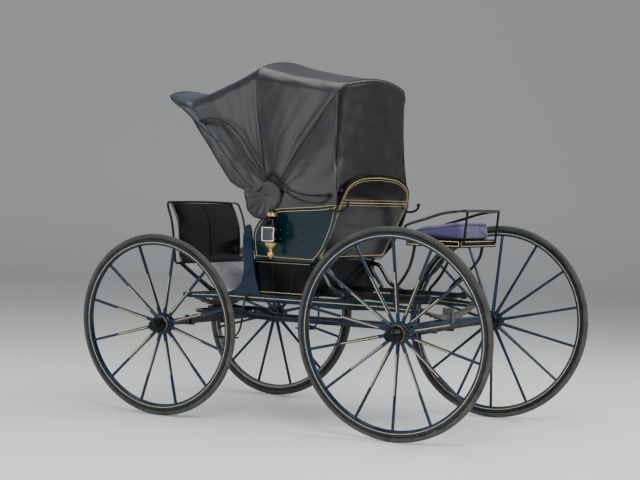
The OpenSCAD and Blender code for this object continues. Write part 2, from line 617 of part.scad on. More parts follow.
module rumble_board() {
    color([0.03, 0.03, 0.035]) translate([xr - 168, -rumble_y, rumble_z])
        cube([332, 2 * rumble_y, rumble_t]);
}
module rumble_cushion() {
    color([0.29, 0.27, 0.45]) translate([0, rumble_y - 12, 0]) rotate([90, 0, 0])
        linear_extrude(2 * rumble_y - 24) polygon(at_rear([[-160, rumble_z + rumble_t + 0.3],
            [160, rumble_z + rumble_t + 0.3], [160, 1140], [60, 1165], [-150, 1190]]));
}
module rumble_rail() {
    r = rumble_rail_r;
    y = rumble_y + r + 0.8;
    h = smooth([[152, y, rumble_z + rumble_t / 2], [166, y, 1110], [172, y, 1150], [150, y + 2, 1170],
        [40, y + 6, 1205], [-60, y + 8, 1238], [-150, y + 4, 1254], [-186, y - 24, 1257],
        [-192, 180, 1257], [-192, 0, 1257]], 3);
    color([0.02, 0.02, 0.022]) {
        rod(at_rear(concat(h, [for (i = [len(h) - 2 : -1 : 0]) [h[i][0], -h[i][1], h[i][2]]])), r, [1, 0, 0]);
        both_sides() rod(at_rear([[-176, rumble_y - 30, rumble_z + rumble_t / 2], [-183, rumble_y - 30, 1150],
            [-192, rumble_y - 30, 1254]]), r - 1);
    }
}
module rumble_irons() {
    top = rumble_z - 0.5;
    foot = bar_z + bar_h + 0.8;
    color([0.03, 0.05, 0.07]) both_sides() {
        rod(at_rear(smooth([[112, bar_y, top], [113, bar_y, 1035], [122, bar_y, 985], [140, bar_y, 925],
            [172, bar_y, 868], [212, bar_y, 815], [238, bar_y, 786], [242, bar_y, foot]], 4)), 9);
        rod(at_rear(smooth([[-84, bar_y, top], [-83, bar_y, 1035], [-72, bar_y, 985], [-30, bar_y, 925],
            [34, bar_y, 868], [86, bar_y, 822], [110, bar_y, 790], [112, bar_y, foot]], 4)), 9);
    }
}

// ---------------------------------------------------------------- hood

// A point of the hood, from its distance r from the pivots at lean a.
function polar(y, r, a) = [px + r * cos(a), y, pivot_z + r * sin(a)];
// A bow is [lean, half width at its feet, half width at its top, height]. Its crown is an arc of
// radius crown_rad, which meets corners of radius corner_rad at the angle bow_phi.
crown_rad = 1300;
corner_rad = 95;
bow_foot = 330;      // length of a bow's iron foot
function bow_phi(b) = asin((b[2] - corner_rad) / (crown_rad - corner_rad));
function bow_shoulder(b) = b[3] - crown_rad + (crown_rad - corner_rad) * cos(bow_phi(b));
// The outline of bow b, c outside its middle line: [distance from the middle, height].
function bow_line(b, c) = let (f = bow_phi(b), s = bow_shoulder(b),
    h = concat([[b[1] + c, 70]], [for (k = [0 : 2]) let (z = bow_foot + (s - bow_foot) * k / 3)
            [b[1] + (b[2] - b[1]) * k / 3 + c, z]],
        [for (k = [0 : 5]) let (t = 90 - (90 - f) * k / 5)
            [b[2] - corner_rad + (corner_rad + c) * sin(t), s + (corner_rad + c) * cos(t)]],
        [for (k = [1 : 6]) let (t = f * (1 - k / 6))
            [(crown_rad + c) * sin(t), b[3] - crown_rad + (crown_rad + c) * cos(t)]]))
    concat(h, [for (i = [len(h) - 2 : -1 : 0]) [-h[i][0], h[i][1]]]);
function bow_pts(b, c, from = 0) = [for (q = bow_line(b, c)) if (q[1] > from) polar(q[0], q[1], b[0])];
rear_b = [rear_bow_a, 440, 412, 826];
mid_b = [mid_bow_a, 448, 420, 800];
front_b = [front_bow_a, 456, 428, 858];
// Points k of the way from list a to list b.
function mix(a, b, k) = [for (i = [0 : len(a) - 1]) a[i] * (1 - k) + b[i] * k];

module bow(b, y) {
    translate([px, 0, pivot_z]) rotate([0, -b[0], 0]) {
        both_sides() {
            // flat iron foot with its pin bore
            difference() {
                union() {
                    translate([0, y, -9]) cube([bow_foot, bow_iron_t, 18]);
                    translate([0, y + bow_iron_t, 0]) rotate([90, 0, 0]) cylinder(h = bow_iron_t, r = 17);
                }
                translate([0, y - 1, 0]) rotate([-90, 0, 0]) cylinder(h = bow_iron_t + 2, r = hood_pin_r + fit);
            }
        }
    }
    rod(concat([polar(b[1], bow_foot + 0.3, b[0])], bow_pts(b, 0, bow_foot + 1),
        [polar(-b[1], bow_foot + 0.3, b[0])]), bow_r, [1, 0, 0.3], 12);
}
module bow_rear() { color([0.03, 0.03, 0.03]) bow(rear_b, 436.5); }
module bow_middle() { color([0.03, 0.03, 0.03]) bow(mid_b, 444.5); }
module bow_front() {
    color([0.03, 0.03, 0.03]) {
        bow(front_b, 452.5);
        both_sides() translate([xr + landau_a[0], landau_pin_y, landau_a[1]]) rotate([-90, 0, 0])
            cylinder(h = landau_y + 14 - landau_pin_y, r = 6);
    }
}
module hood_section(a, b, c, d) {
    n = 4;
    color([0.07, 0.075, 0.08]) skin([for (k = [0 : n]) mix(a, b, k / n)], [for (k = [0 : n]) mix(c, d, k / n)]);
}
// Where the hood's back is nailed inside the body's top, as many points as a bow has.
function body_line(c) = let (y = tub_top_y + 6 + c, x0 = px - 70, x1 = xr + 522, z = pivot_z + 32,
    h = concat([for (k = [0 : 3]) [x0 + (x1 - x0) * k / 4, y, z - 10 * (4 - k)]],
        [for (q = [[0, 0, 0], [4, 5, 2], [6, 16, 6], [8, 34, 12], [8, 58, 18], [9, 84, 24]])
            [x1 - q[0] - c, y - q[1], z + q[2]]],
        [for (k = [1 : 6]) [x1 - 9 - c, (y - 84) * (1 - k / 6), z + 24 + 12 * sin(15 * k)]]))
    concat(h, [for (i = [len(h) - 2 : -1 : 0]) [h[i][0], -h[i][1], h[i][2]]]);
// The leather's line over the rear bow, set back so that it clears the bow on its way down.
function back_top(c) = [for (q = bow_pts(rear_b, c)) q + [-4.5, 0, -2]];
module hood_back() {
    hood_section(body_line(leather_t), back_top(skin_off), body_line(0), back_top(skin_off - leather_t));
}
module hood_top_rear() {
    hood_section(bow_pts(rear_b, skin_off), bow_pts(mid_b, skin_off), bow_pts(rear_b, skin_off - leather_t),
        bow_pts(mid_b, skin_off - leather_t));
}
module hood_top_front() {
    hood_section(bow_pts(mid_b, skin_off), bow_pts(front_b, skin_off), bow_pts(mid_b, skin_off - leather_t),
        bow_pts(front_b, skin_off - leather_t));
}
// The stiff peak on the front bow: full reach over the top, fading to nothing down the sides.
function peak_pts(c) = let (p = bow_pts(front_b, c)) [for (i = [2 : len(p) - 3])
    let (k = sin(180 * (i - 2) / (len(p) - 5)), f = 0.07 + 0.93 * pow(max(k, 0), 0.6)) p[i] + [visor_reach * f, 0, 34 * f * f]];
module hood_peak() {
    p = bow_pts(front_b, skin_off);
    q = bow_pts(front_b, skin_off - leather_t);
    n = len(p);
    gap = [1, 0, 0.4];
    color([0.1, 0.12, 0.15]) skin([[for (i = [2 : n - 3]) p[i] + gap],
        mix([for (i = [2 : n - 3]) p[i] + gap], peak_pts(skin_off) , 0.5), [for (v = peak_pts(skin_off)) v + gap]],
        [[for (i = [2 : n - 3]) q[i] + gap],
        mix([for (i = [2 : n - 3]) q[i] + gap], peak_pts(skin_off - leather_t), 0.5),
        [for (v = peak_pts(skin_off - leather_t)) v + gap]]);
}
// The loose leather gathered between the front bow's foot and the seat's arm.
module hood_gather() {
    color([0.07, 0.075, 0.08]) rod(at_rear(smooth([[938, 464, 1236], [970, 462.7, 1210], [1026, 460.7, 1190],
        [1088, 460.7, 1222], [1126, 462, 1280], [1150, 462, 1330]], 4)), 18, [0, 1, 0], 12);
}
module hood_gather_left() { hood_gather(); }
module hood_gather_right() { mirror([0, 1, 0]) hood_gather(); }
// Jointed side irons that hold the hood up: a lower arm on the body, an upper arm on the front bow.
landau_y = tub_top_y + 22;
landau_pin_y = 443.4;                        // outer face of the front bow at the irons' pivot
landau_r = 634;                              // upper iron's pivot, from the hood pivots
landau_a = [950 + landau_r * cos(front_bow_a), pivot_z + landau_r * sin(front_bow_a)];
landau_k = [943, 1421];
landau_b = [558, 1316];
module landau_lower() {
    p = smooth([landau_b, [640, 1322], [740, 1342], [860, 1392], landau_k], 5);
    color([0.02, 0.02, 0.022]) both_sides() {
        side_plate(landau_y, 8) difference() {
            union() {
                polygon(at_rear(ribbon(p, 16)));
                translate([xr + landau_b[0], landau_b[1]]) circle(14);
                translate([xr + landau_k[0], landau_k[1]]) circle(14);
            }
            translate([xr + landau_b[0], landau_b[1]]) circle(6 + fit);
        }
    }
}
module landau_upper() {
    p = smooth([landau_a, [1330, 1660], [1200, 1570], [1060, 1512], [985, 1462], landau_k], 5);
    color([0.02, 0.02, 0.022]) both_sides() {
        side_plate(landau_y + 8.6, 8) difference() {
            union() {
                polygon(at_rear(ribbon(p, 16)));
                translate([xr + landau_a[0], landau_a[1]]) circle(14);
                translate([xr + landau_k[0], landau_k[1]]) circle(14);
            }
            translate([xr + landau_a[0], landau_a[1]]) circle(6 + fit);
        }
    }
}
// Plates on the seat's top rail with the hood and landau pivots, and the goose-necks the hood folds onto.
module hood_rests() {
    color([0.02, 0.02, 0.022]) both_sides() {
        translate([px - 30, 423, 1185]) cube([60, 12, pivot_z - 1185]);
        translate([px, 435, pivot_z]) rotate([90, 0, 0]) cylinder(h = 12, r = 30);
        translate([px, 434, pivot_z]) rotate([-90, 0, 0]) cylinder(h = 28, r = hood_pin_r);
        translate([xr + landau_b[0] - 5, 421, 1185]) cube([24, 14, 145]);
        translate([xr + landau_b[0], 434, landau_b[1]]) rotate([-90, 0, 0])
            cylinder(h = landau_y + 6 - 434, r = 6);
        rod(at_rear(smooth([[548, 462, 1236], [500, 462, 1228], [460, 460, 1236], [440, 458, 1252],
            [435, 457, 1266]], 4)), 7);
        translate([xr + 435, 457, 1273]) sphere(12, $fn = 24);
    }
}

tyre_front_left();
tyre_front_right();
tyre_rear_left();
tyre_rear_right();
wheel_front_left();
wheel_front_right();
wheel_rear_left();
wheel_rear_right();
hub_front_left();
hub_front_right();
hub_rear_left();
hub_rear_right();
front_axle();
front_bed();
shaft_couplings();
fifth_wheel();
front_spring();
rear_axle();
rear_bed();
rear_spring();
perch();
rail_left();
rail_right();
seat_bars();
boot();
tub_left();
tub_right();
back_panel();
pillars();
body_irons();
hood_rests();
seat_cushion();
seat_back();
floor_boards();
floor_mat();
dash_leather();
dash_irons();
step_left();
step_right();
lamp_left();
lamp_right();
rumble_board();
rumble_cushion();
rumble_rail();
rumble_irons();
bow_rear();
bow_middle();
bow_front();
hood_back();
hood_top_rear();
hood_top_front();
hood_peak();
hood_gather_left();
hood_gather_right();
landau_lower();
landau_upper();
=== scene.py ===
"""Spider phaeton: the finished look of a light horse-drawn carriage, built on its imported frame.

Everything is in metres in the frame's own axes: +X forward, +Y left, +Z up. The frame gives the
bodies, the joints and every hard part. This script replaces the plain wheels, tyres, lamps, mat,
cushions and hood skins with detailed meshes and gives every surface a procedural material.
"""

import json
import logging
import math
from dataclasses import dataclass, field
from enum import Enum
from typing import Iterable, Sequence

import bmesh
import bpy
import numpy as np
from mathutils import Matrix, Vector
from mathutils.bvhtree import BVHTree

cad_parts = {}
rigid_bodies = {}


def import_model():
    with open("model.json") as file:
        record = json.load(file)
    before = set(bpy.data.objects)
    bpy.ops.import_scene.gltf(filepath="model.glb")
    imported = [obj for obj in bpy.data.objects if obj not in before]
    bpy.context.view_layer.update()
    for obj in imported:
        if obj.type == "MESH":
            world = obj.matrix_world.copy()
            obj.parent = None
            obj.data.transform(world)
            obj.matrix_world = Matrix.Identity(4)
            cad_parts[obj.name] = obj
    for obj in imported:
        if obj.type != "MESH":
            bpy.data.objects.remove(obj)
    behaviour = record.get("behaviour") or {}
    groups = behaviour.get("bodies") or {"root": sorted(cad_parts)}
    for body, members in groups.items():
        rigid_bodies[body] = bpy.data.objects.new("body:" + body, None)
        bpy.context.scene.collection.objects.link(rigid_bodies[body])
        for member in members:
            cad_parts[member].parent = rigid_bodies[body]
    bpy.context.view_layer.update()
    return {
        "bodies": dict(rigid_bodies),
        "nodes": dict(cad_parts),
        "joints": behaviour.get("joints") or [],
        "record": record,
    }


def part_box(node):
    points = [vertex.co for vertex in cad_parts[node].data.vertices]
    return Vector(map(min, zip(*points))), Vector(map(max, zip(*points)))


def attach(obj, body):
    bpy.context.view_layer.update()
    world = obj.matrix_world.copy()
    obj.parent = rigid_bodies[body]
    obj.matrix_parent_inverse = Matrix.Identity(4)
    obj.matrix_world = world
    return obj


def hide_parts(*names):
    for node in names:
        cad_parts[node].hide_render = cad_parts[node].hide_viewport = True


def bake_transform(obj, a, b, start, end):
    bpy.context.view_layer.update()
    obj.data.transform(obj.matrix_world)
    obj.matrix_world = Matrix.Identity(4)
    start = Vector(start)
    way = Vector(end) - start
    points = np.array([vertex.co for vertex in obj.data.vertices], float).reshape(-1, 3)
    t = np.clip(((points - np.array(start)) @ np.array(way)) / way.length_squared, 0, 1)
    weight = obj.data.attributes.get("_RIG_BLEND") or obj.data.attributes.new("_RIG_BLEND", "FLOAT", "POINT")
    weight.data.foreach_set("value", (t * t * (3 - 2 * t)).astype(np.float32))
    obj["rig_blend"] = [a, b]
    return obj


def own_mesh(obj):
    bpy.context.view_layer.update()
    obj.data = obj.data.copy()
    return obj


logging.basicConfig(level=logging.INFO, format="%(levelname)s %(message)s")
LOG = logging.getLogger("phaeton")

Array = np.ndarray
MM = 0.001


class Paint(str, Enum):
    """Names of the materials that pieces ask for."""

    TYRE = "tyre_rubber"
    BLUE = "coach_blue"
    CREAM = "lining_cream"
    GOLD = "lining_gold"
    BLACK = "coach_black"
    TEAL = "panel_teal"
    IRON = "black_iron"
    STEEL = "spring_steel"
    HOOD = "hood_leather"
    LINING = "hood_lining"
    CURTAIN = "curtain_leather"
    PATENT = "patent_leather"
    PEAK = "peak_leather"
    CLOTH = "cushion_cloth"
    PIPING = "cushion_piping"
    MAT = "mat_rubber"
    BRASS = "lamp_brass"
    SILVER = "lamp_silver"
    GLASS = "lamp_glass"
    WAX = "candle_wax"


@dataclass(frozen=True)
class Carriage:
    """The sizes that the frame was built to, in metres."""

    wheelbase: float = 1.527
    front_r: float = 0.5305
    rear_r: float = 0.585
    track_front: float = 1.403
    track_rear: float = 1.423
    camber: float = math.radians(4.43)
    tyre_h: float = 0.028
    tyre_w: float = 0.027
    channel_t: float = 0.006
    felloe_h: float = 0.032
    felloe_w: float = 0.031
    nave_t: float = 0.020
    hub_flange_r: float = 0.062
    hub_collar_r: float = 0.049
    hub_cap_r: float = 0.031
    hub_cap_out: float = 0.055
    hub_in: float = 0.062
    spindle_r: float = 0.01705
    pivot_z: float = 1.300

    @property
    def xr(self) -> float:
        """Place of the rear axle along the carriage."""
        return -(self.wheelbase + self.front_r - self.rear_r) / 2

    @property
    def xf(self) -> float:
        """Place of the front axle along the carriage."""
        return self.xr + self.wheelbase

    @property
    def px(self) -> float:
        """Place of the hood's pivots along the carriage."""
        return self.xr + 0.950

    def hub_z(self, radius: float) -> float:
        """Height of a wheel's hub when its tyre rests on the ground.

        Args:
            radius: The wheel's radius over its tyre.

        Returns:
            The height, in metres.
        """
        return (radius - self.tyre_w / 2) * math.cos(self.camber) + self.tyre_w / 2


C = Carriage()


# ----------------------------------------------------------------------------- mesh tools


def smooth_path(points: Sequence[Sequence[float]], steps: int = 8) -> Array:
    """Runs a Catmull-Rom curve through points.

    Args:
        points: The points it passes, two or three numbers each.
        steps: Steps between neighbouring points.

    Returns:
        The curve's points, one row each.
    """
    p = np.asarray(points, float)
    q = np.vstack([p[:1], p, p[-1:]])
    t = np.linspace(0, 1, steps, endpoint=False)[:, None]
    a, b, c, d = q[:-3, None], q[1:-2, None], q[2:-1, None], q[3:, None]
    curve = 0.5 * (2 * b + (c - a) * t + (2 * a - 5 * b + 4 * c - d) * t**2 + (3 * b - a - 3 * c + d) * t**3)
    return np.vstack([curve.reshape(-1, p.shape[1]), p[-1:]])


def rear(points: Sequence[Sequence[float]]) -> Array:
    """Moves points given in millimetres from the rear axle into the frame, in metres."""
    p = np.asarray(points, float) * MM
    p[:, 0] += C.xr
    return p


def spread(p: Array, count: int) -> Array:
    """Resamples a path at equal distances along its length."""
    gaps = np.linalg.norm(np.diff(p, axis=0), axis=1)
    s = np.concatenate([[0], np.cumsum(gaps)])
    u = np.linspace(0, s[-1], count)
    return np.stack([np.interp(u, s, p[:, k]) for k in range(p.shape[1])], 1)


def frames_along(path: Array, hint: Sequence[float]) -> tuple[Array, Array]:
    """Carries a pair of side directions along a path with the least turning.

    Args:
        path: The path's points.
        hint: A direction that the first stretch doesn't run along.

    Returns:
        Two arrays of unit vectors across the path.
    """
    t = np.gradient(path, axis=0)
    t /= np.linalg.norm(t, axis=1)[:, None] + 1e-12
    b = np.zeros_like(path)
    b[0] = np.cross(t[0], hint)
    b[0] /= np.linalg.norm(b[0])
    for i in range(1, len(path)):
        v = b[i - 1] - np.dot(b[i - 1], t[i]) * t[i]
        b[i] = v / np.linalg.norm(v)
    return b, np.cross(t, b)


@dataclass
class Shape:
    """Surfaces gathered into one mesh, each with the paint it takes."""

    verts: list[Array] = field(default_factory=list)
    faces: list[Array] = field(default_factory=list)
    paints: list[tuple[Paint, int]] = field(default_factory=list)
    extra: list[Array] = field(default_factory=list)
    count: int = 0

    def add(self, verts: Array, faces: Array, paint: Paint, value: Array | None = None) -> None:
        """Adds vertices and quads (or triangles) that take one paint.

        Args:
            verts: Vertex positions, one row each.
            faces: Vertex numbers, one face a row.
            paint: The material they take.
            value: A number for each vertex, kept for blending.
        """
        self.verts.append(np.asarray(verts, float).reshape(-1, 3))
        self.faces.append(np.asarray(faces, int) + self.count)
        self.paints.append((paint, len(faces)))
        n = len(self.verts[-1])
        self.extra.append(np.zeros(n) if value is None else np.asarray(value, float).reshape(-1))
        self.count += n

    def grid(self, p: Array, paint: Paint, wrap_u: bool = False, wrap_v: bool = False,
             flip: bool = False, value: Array | None = None) -> None:
        """Adds a surface of rows of points.

        Args:
            p: Points, shaped (rows, columns, 3).
            paint: The material it takes.
            wrap_u: Joins the last row to the first.
            wrap_v: Joins the last column to the first.
            flip: Turns its faces over.
            value: A number for each point.
        """
        m, n = p.shape[:2]
        i = np.arange(m if wrap_u else m - 1)[:, None]
        j = np.arange(n if wrap_v else n - 1)[None, :]
        a, b = i * n + j, i * n + (j + 1) % n
        c, d = ((i + 1) % m) * n + (j + 1) % n, ((i + 1) % m) * n + j
        quads = np.stack([a, b, c, d], -1).reshape(-1, 4)
        self.add(p.reshape(-1, 3), quads[:, ::-1] if flip else quads, paint, value)

    def edges(self, p: Array, q: Array, paint: Paint, value: Array | None = None) -> None:
        """Closes the four edges between two faces of a thin skin.

        Args:
            p: Points of the one face, shaped (rows, columns, 3).
            q: Points of the other.
            paint: The material of the edges.
            value: A number for each point, the same on both faces.
        """
        for at in ((0, slice(None)), (-1, slice(None)), (slice(None), 0), (slice(None), -1)):
            both = None if value is None else np.stack([value[at], value[at]])
            self.grid(np.stack([p[at], q[at]]), paint, value=both)

    def lathe(self, profile: Sequence[Sequence[float]], paint: Paint, place: Matrix,
              sides: int = 48) -> None:
        """Turns a profile of (radius, height) pairs about its own axis.

        Args:
            profile: The outline, from one end to the other, going up on the outside.
            paint: The material it takes.
            place: Puts the axis (local Z) in the frame.
            sides: Steps round the axis.
        """
        q = np.asarray(profile, float)
        a = np.linspace(0, 2 * np.pi, sides, endpoint=False)
        ring = np.stack([q[:, :1] * np.cos(a), q[:, :1] * np.sin(a), np.repeat(q[:, 1:], sides, 1)], -1)
        self.grid(transform(ring, place), paint, wrap_v=True)

    def tube(self, path: Array, radius: float | Array, paint: Paint, hint: Sequence[float] = (0, 1, 0),
             sides: int = 12, flat: float = 1.0, value: Array | None = None) -> None:
        """Sweeps a round or oval section along a path and closes its ends.

        Args:
            path: The path's points.
            radius: The section's radius, one number or one a point.
            paint: The material it takes.
            hint: A direction that the first stretch doesn't run along.
            sides: Steps round the section.
            flat: Height of the section as a share of its width.
            value: A number for each point of the path.
        """
        b, u = frames_along(path, hint)
        r = np.broadcast_to(np.asarray(radius, float), (len(path),))
        ends = [0.0, 0.72, 1.0]
        p = np.vstack([path[:1]] * 2 + [path] + [path[-1:]] * 2)
        b = np.vstack([b[:1]] * 2 + [b] + [b[-1:]] * 2)
        u = np.vstack([u[:1]] * 2 + [u] + [u[-1:]] * 2)
        r = np.concatenate([r[:1] * ends[0], r[:1] * ends[1], r, r[-1:] * ends[1], r[-1:] * ends[0]])
        a = np.linspace(0, 2 * np.pi, sides, endpoint=False)
        ring = p[:, None] + r[:, None, None] * (np.cos(a)[None, :, None] * b[:, None]
                                                + flat * np.sin(a)[None, :, None] * u[:, None])
        v = None
        if value is not None:
            v = np.concatenate([value[:1]] * 2 + [value] + [value[-1:]] * 2)
            v = np.repeat(v, sides)
        self.grid(ring, paint, wrap_v=True, value=v)

    def strip(self, path: Array, normal: Array, width: float, paint: Paint, lift: float = 0.0005) -> None:
        """Lays a thin raised line on a surface.

        Args:
            path: The line's middle, on the surface.
            normal: The surface's outward direction, one row or one a point.
            width: The line's width.
            paint: The material it takes.
            lift: How far it stands out.
        """
        t = np.gradient(path, axis=0)
        n = np.broadcast_to(np.asarray(normal, float), path.shape)
        n = n / np.linalg.norm(n, axis=1)[:, None]
        s = np.cross(n, t)
        s /= np.linalg.norm(s, axis=1)[:, None]
        h = width / 2
        ring = np.stack([path - s * h - n * lift, path - s * h + n * lift, path + s * h + n * lift,
                         path + s * h - n * lift], 1)
        ends = [np.broadcast_to(ring[i].mean(0), (1, 4, 3)) for i in (0, -1)]
        self.grid(np.concatenate([ends[0], ring, ends[1]]), paint, wrap_v=True, flip=True)

    def block(self, size: Sequence[float], place: Matrix, paint: Paint, round_: float = 0.002) -> None:
        """Adds a box with softened edges, centred on its own origin."""
        h = np.asarray(size, float) / 2
        r = min(round_, *(h * 0.9))
        lev = [(-1, 0), (-1, r), (1, -r), (1, 0)]
        rows = []
        for sgn, off in lev:
            inset = r if off == 0 else 0.0
            x, y, z = h[0] - inset, h[1] - inset, sgn * h[2] + off
            c = r * 0.6
            rows.append([[x, y - c, z], [x - c, y, z], [-x + c, y, z], [-x, y - c, z], [-x, -y + c, z],
                         [-x + c, -y, z], [x - c, -y, z], [x, -y + c, z]])
        p = np.array(rows)
        mid0, mid1 = p[0].mean(0), p[-1].mean(0)
        p = np.concatenate([np.repeat(mid0[None, None], 8, 1), p, np.repeat(mid1[None, None], 8, 1)])
        self.grid(transform(p, place), paint, wrap_v=True)

    def build(self, name: str, angle: float = 35.0) -> bpy.types.Object:
        """Makes one Blender object of everything gathered.

        Args:
            name: The object's name.
            angle: Edges sharper than this stay crisp, in degrees.

        Returns:
            The new object, in the scene.
        """
        used: list[Paint] = []
        for paint, _ in self.paints:
            if paint not in used:
                used.append(paint)
        verts = np.vstack(self.verts)
        faces = [f for block in self.faces for f in block.tolist()]
        mesh = bpy.data.meshes.new(name)
        mesh.from_pydata(verts.tolist(), [], faces)
        index = np.concatenate([np.full(n, used.index(paint)) for paint, n in self.paints])
        for paint in used:
            mesh.materials.append(MATERIALS[paint])
        mesh.polygons.foreach_set("material_index", index.astype(np.int32))
        values = np.concatenate(self.extra)
        if np.any(values):
            mesh.attributes.new("share", "FLOAT", "POINT").data.foreach_set("value", values)
        mesh.validate(clean_customdata=False)
        mesh.update()
        obj = bpy.data.objects.new(name, mesh)
        bpy.context.scene.collection.objects.link(obj)
        tidy_mesh(obj, angle)
        return obj


def transform(p: Array, m: Matrix) -> Array:
    """Moves an array of points by a 4 x 4 matrix."""
    a = np.array(m)
    return p @ a[:3, :3].T + a[:3, 3]


def tidy_mesh(obj: bpy.types.Object, angle: float) -> None:
    """Joins doubled vertices, turns faces outward and shades smooth up to an angle."""
    bm = bmesh.new()
    bm.from_mesh(obj.data)
    bmesh.ops.remove_doubles(bm, verts=bm.verts, dist=1e-6)
    bmesh.ops.dissolve_degenerate(bm, dist=1e-7, edges=bm.edges)
    bmesh.ops.recalc_face_normals(bm, faces=bm.faces)
    bm.to_mesh(obj.data)
    bm.free()
    obj.data.polygons.foreach_set("use_smooth", np.ones(len(obj.data.polygons), bool))
    obj.data.set_sharp_from_angle(angle=math.radians(angle))


def look_along(origin: Sequence[float], axis: Sequence[float], up: Sequence[float] = (1, 0, 0)) -> Matrix:
    """A matrix that puts local Z along axis and local X as near up as it can be."""
    z = Vector(axis).normalized()
    x = Vector(up)
    x = (x - x.dot(z) * z).normalized()
    y = z.cross(x)
    m = Matrix((x, y, z)).transposed().to_4x4()
    m.translation = Vector(origin)
    return m


# ----------------------------------------------------------------------------- finishes


class Nodes:
    """Short calls for adding and joining the nodes of one tree."""

    def __init__(self, tree: bpy.types.NodeTree) -> None:
        """Starts on an emptied tree."""
        self.tree = tree
        tree.nodes.clear()

    def add(self, kind: str, inputs: dict | None = None, **settings: object) -> bpy.types.Node:
        """Adds a node, joins or sets its inputs and sets its options.

        Args:
            kind: The node's type name, without ShaderNode.
            inputs: Sockets to join or plain values, by input name or number.
            settings: The node's own options.

        Returns:
            The node.
        """
        name = kind if kind.startswith("NodeGroup") else "ShaderNode" + kind
        node = self.tree.nodes.new(name)
        for key, value in settings.items():
            setattr(node, key, value)
        for key, value in (inputs or {}).items():
            if isinstance(value, bpy.types.NodeSocket):
                self.tree.links.new(value, node.inputs[key])
            else:
                node.inputs[key].default_value = value
        return node

    def sum(self, operation: str, a: object, b: object = 0.0, clamp: bool = False) -> bpy.types.NodeSocket:
        """A Math node's result."""
        return self.add("Math", {0: a, 1: b}, operation=operation, use_clamp=clamp).outputs[0]

    def ramp(self, value: bpy.types.NodeSocket, low: float, high: float, a: float = 0.0,
             b: float = 1.0) -> bpy.types.NodeSocket:
        """Maps a value from low..high to a..b, smoothly and held at the ends."""
        return self.add("MapRange", {0: value, 1: low, 2: high, 3: a, 4: b},
                        interpolation_type="SMOOTHSTEP").outputs[0]

    def mix(self, share: bpy.types.NodeSocket, a: object, b: object) -> bpy.types.NodeSocket:
        """Two colours mixed by a share."""
        node = self.add("Mix", data_type="RGBA")
        for key, value in (("Factor", share), (6, a), (7, b)):
            socket = node.inputs[0] if key == "Factor" else node.inputs[key]
            if isinstance(value, bpy.types.NodeSocket):
                self.tree.links.new(value, socket)
            else:
                socket.default_value = (*value, 1.0)
        return node.outputs[2]


def new_group(name: str, inputs: Sequence[tuple[str, str]], outputs: Sequence[str]
              ) -> tuple[bpy.types.NodeTree, Nodes, bpy.types.Node, bpy.types.Node]:
    """Starts a shader group that gives masks and heights only.

    Args:
        name: The group's name.
        inputs: Socket names and types.
        outputs: Names of its value outputs.

    Returns:
        The tree, its helper, its input node and its output node.
    """
    tree = bpy.data.node_groups.new(name, "ShaderNodeTree")
    for label, kind in inputs:
        tree.interface.new_socket(name=label, in_out="INPUT", socket_type=kind)
    for label in outputs:
        tree.interface.new_socket(name=label, in_out="OUTPUT", socket_type="NodeSocketFloat")
    n = Nodes(tree)
    return tree, n, n.add("NodeGroupInput"), n.add("NodeGroupOutput")


VEC, VAL = "NodeSocketVector", "NodeSocketFloat"


def speckle_group() -> bpy.types.NodeTree:
    """Cloudy patches and fine grains: Cloud is a slow noise, Fine a quick one, Streak a drawn-out one."""
    tree, n, gi, go = new_group("speckle", [("Vector", VEC), ("Scale", VAL)], ["Cloud", "Fine", "Streak"])
    slow = n.add("TexNoise", {"Vector": gi.outputs[0], "Scale": gi.outputs[1], "Detail": 5.0,
                              "Roughness": 0.6})
    quick = n.add("TexNoise", {"Vector": gi.outputs[0], "Scale": n.sum("MULTIPLY", gi.outputs[1], 23.0),
                               "Detail": 3.0, "Roughness": 0.65})
    drawn = n.add("Mapping", {"Vector": gi.outputs[0], "Scale": (1.0, 6.0, 9.0)})
    streak = n.add("TexNoise", {"Vector": drawn.outputs[0], "Scale": n.sum("MULTIPLY", gi.outputs[1], 3.0),
                                "Detail": 4.0, "Roughness": 0.6})
    for i, node in enumerate((slow, quick, streak)):
        tree.links.new(node.outputs[0], go.inputs[i])
    return tree


def hide_group() -> bpy.types.NodeTree:
    """Leather: Pebble is the height of small rounded cells, Crack a fine web of low lines that the finish
    darkens as painted shade, Scuff worn patches.
    """
    tree, n, gi, go = new_group("hide", [("Vector", VEC), ("Scale", VAL)], ["Pebble", "Crack", "Scuff"])
    warp = n.add("TexNoise", {"Vector": gi.outputs[0], "Scale": n.sum("MULTIPLY", gi.outputs[1], 0.2),
                              "Detail": 3.0})
    small = n.add("VectorMath", {0: warp.outputs[1], 1: (0.02, 0.02, 0.02)}, operation="MULTIPLY").outputs[0]
    bent = n.add("VectorMath", {0: gi.outputs[0], 1: small}, operation="ADD").outputs[0]
    cells = n.add("TexVoronoi", {"Vector": bent, "Scale": gi.outputs[1], "Smoothness": 0.5},
                  feature="SMOOTH_F1")
    web = n.add("TexVoronoi", {"Vector": bent, "Scale": n.sum("MULTIPLY", gi.outputs[1], 0.16)},
                feature="DISTANCE_TO_EDGE")
    worn = n.add("TexNoise", {"Vector": gi.outputs[0], "Scale": n.sum("MULTIPLY", gi.outputs[1], 0.025),
                              "Detail": 8.0, "Roughness": 0.68})
    tree.links.new(n.ramp(cells.outputs[0], 0.0, 0.7, 1.0, 0.0), go.inputs[0])
    tree.links.new(n.ramp(web.outputs[0], 0.0, 0.05), go.inputs[1])
    tree.links.new(n.ramp(worn.outputs[0], 0.52, 0.72), go.inputs[2])
    return tree


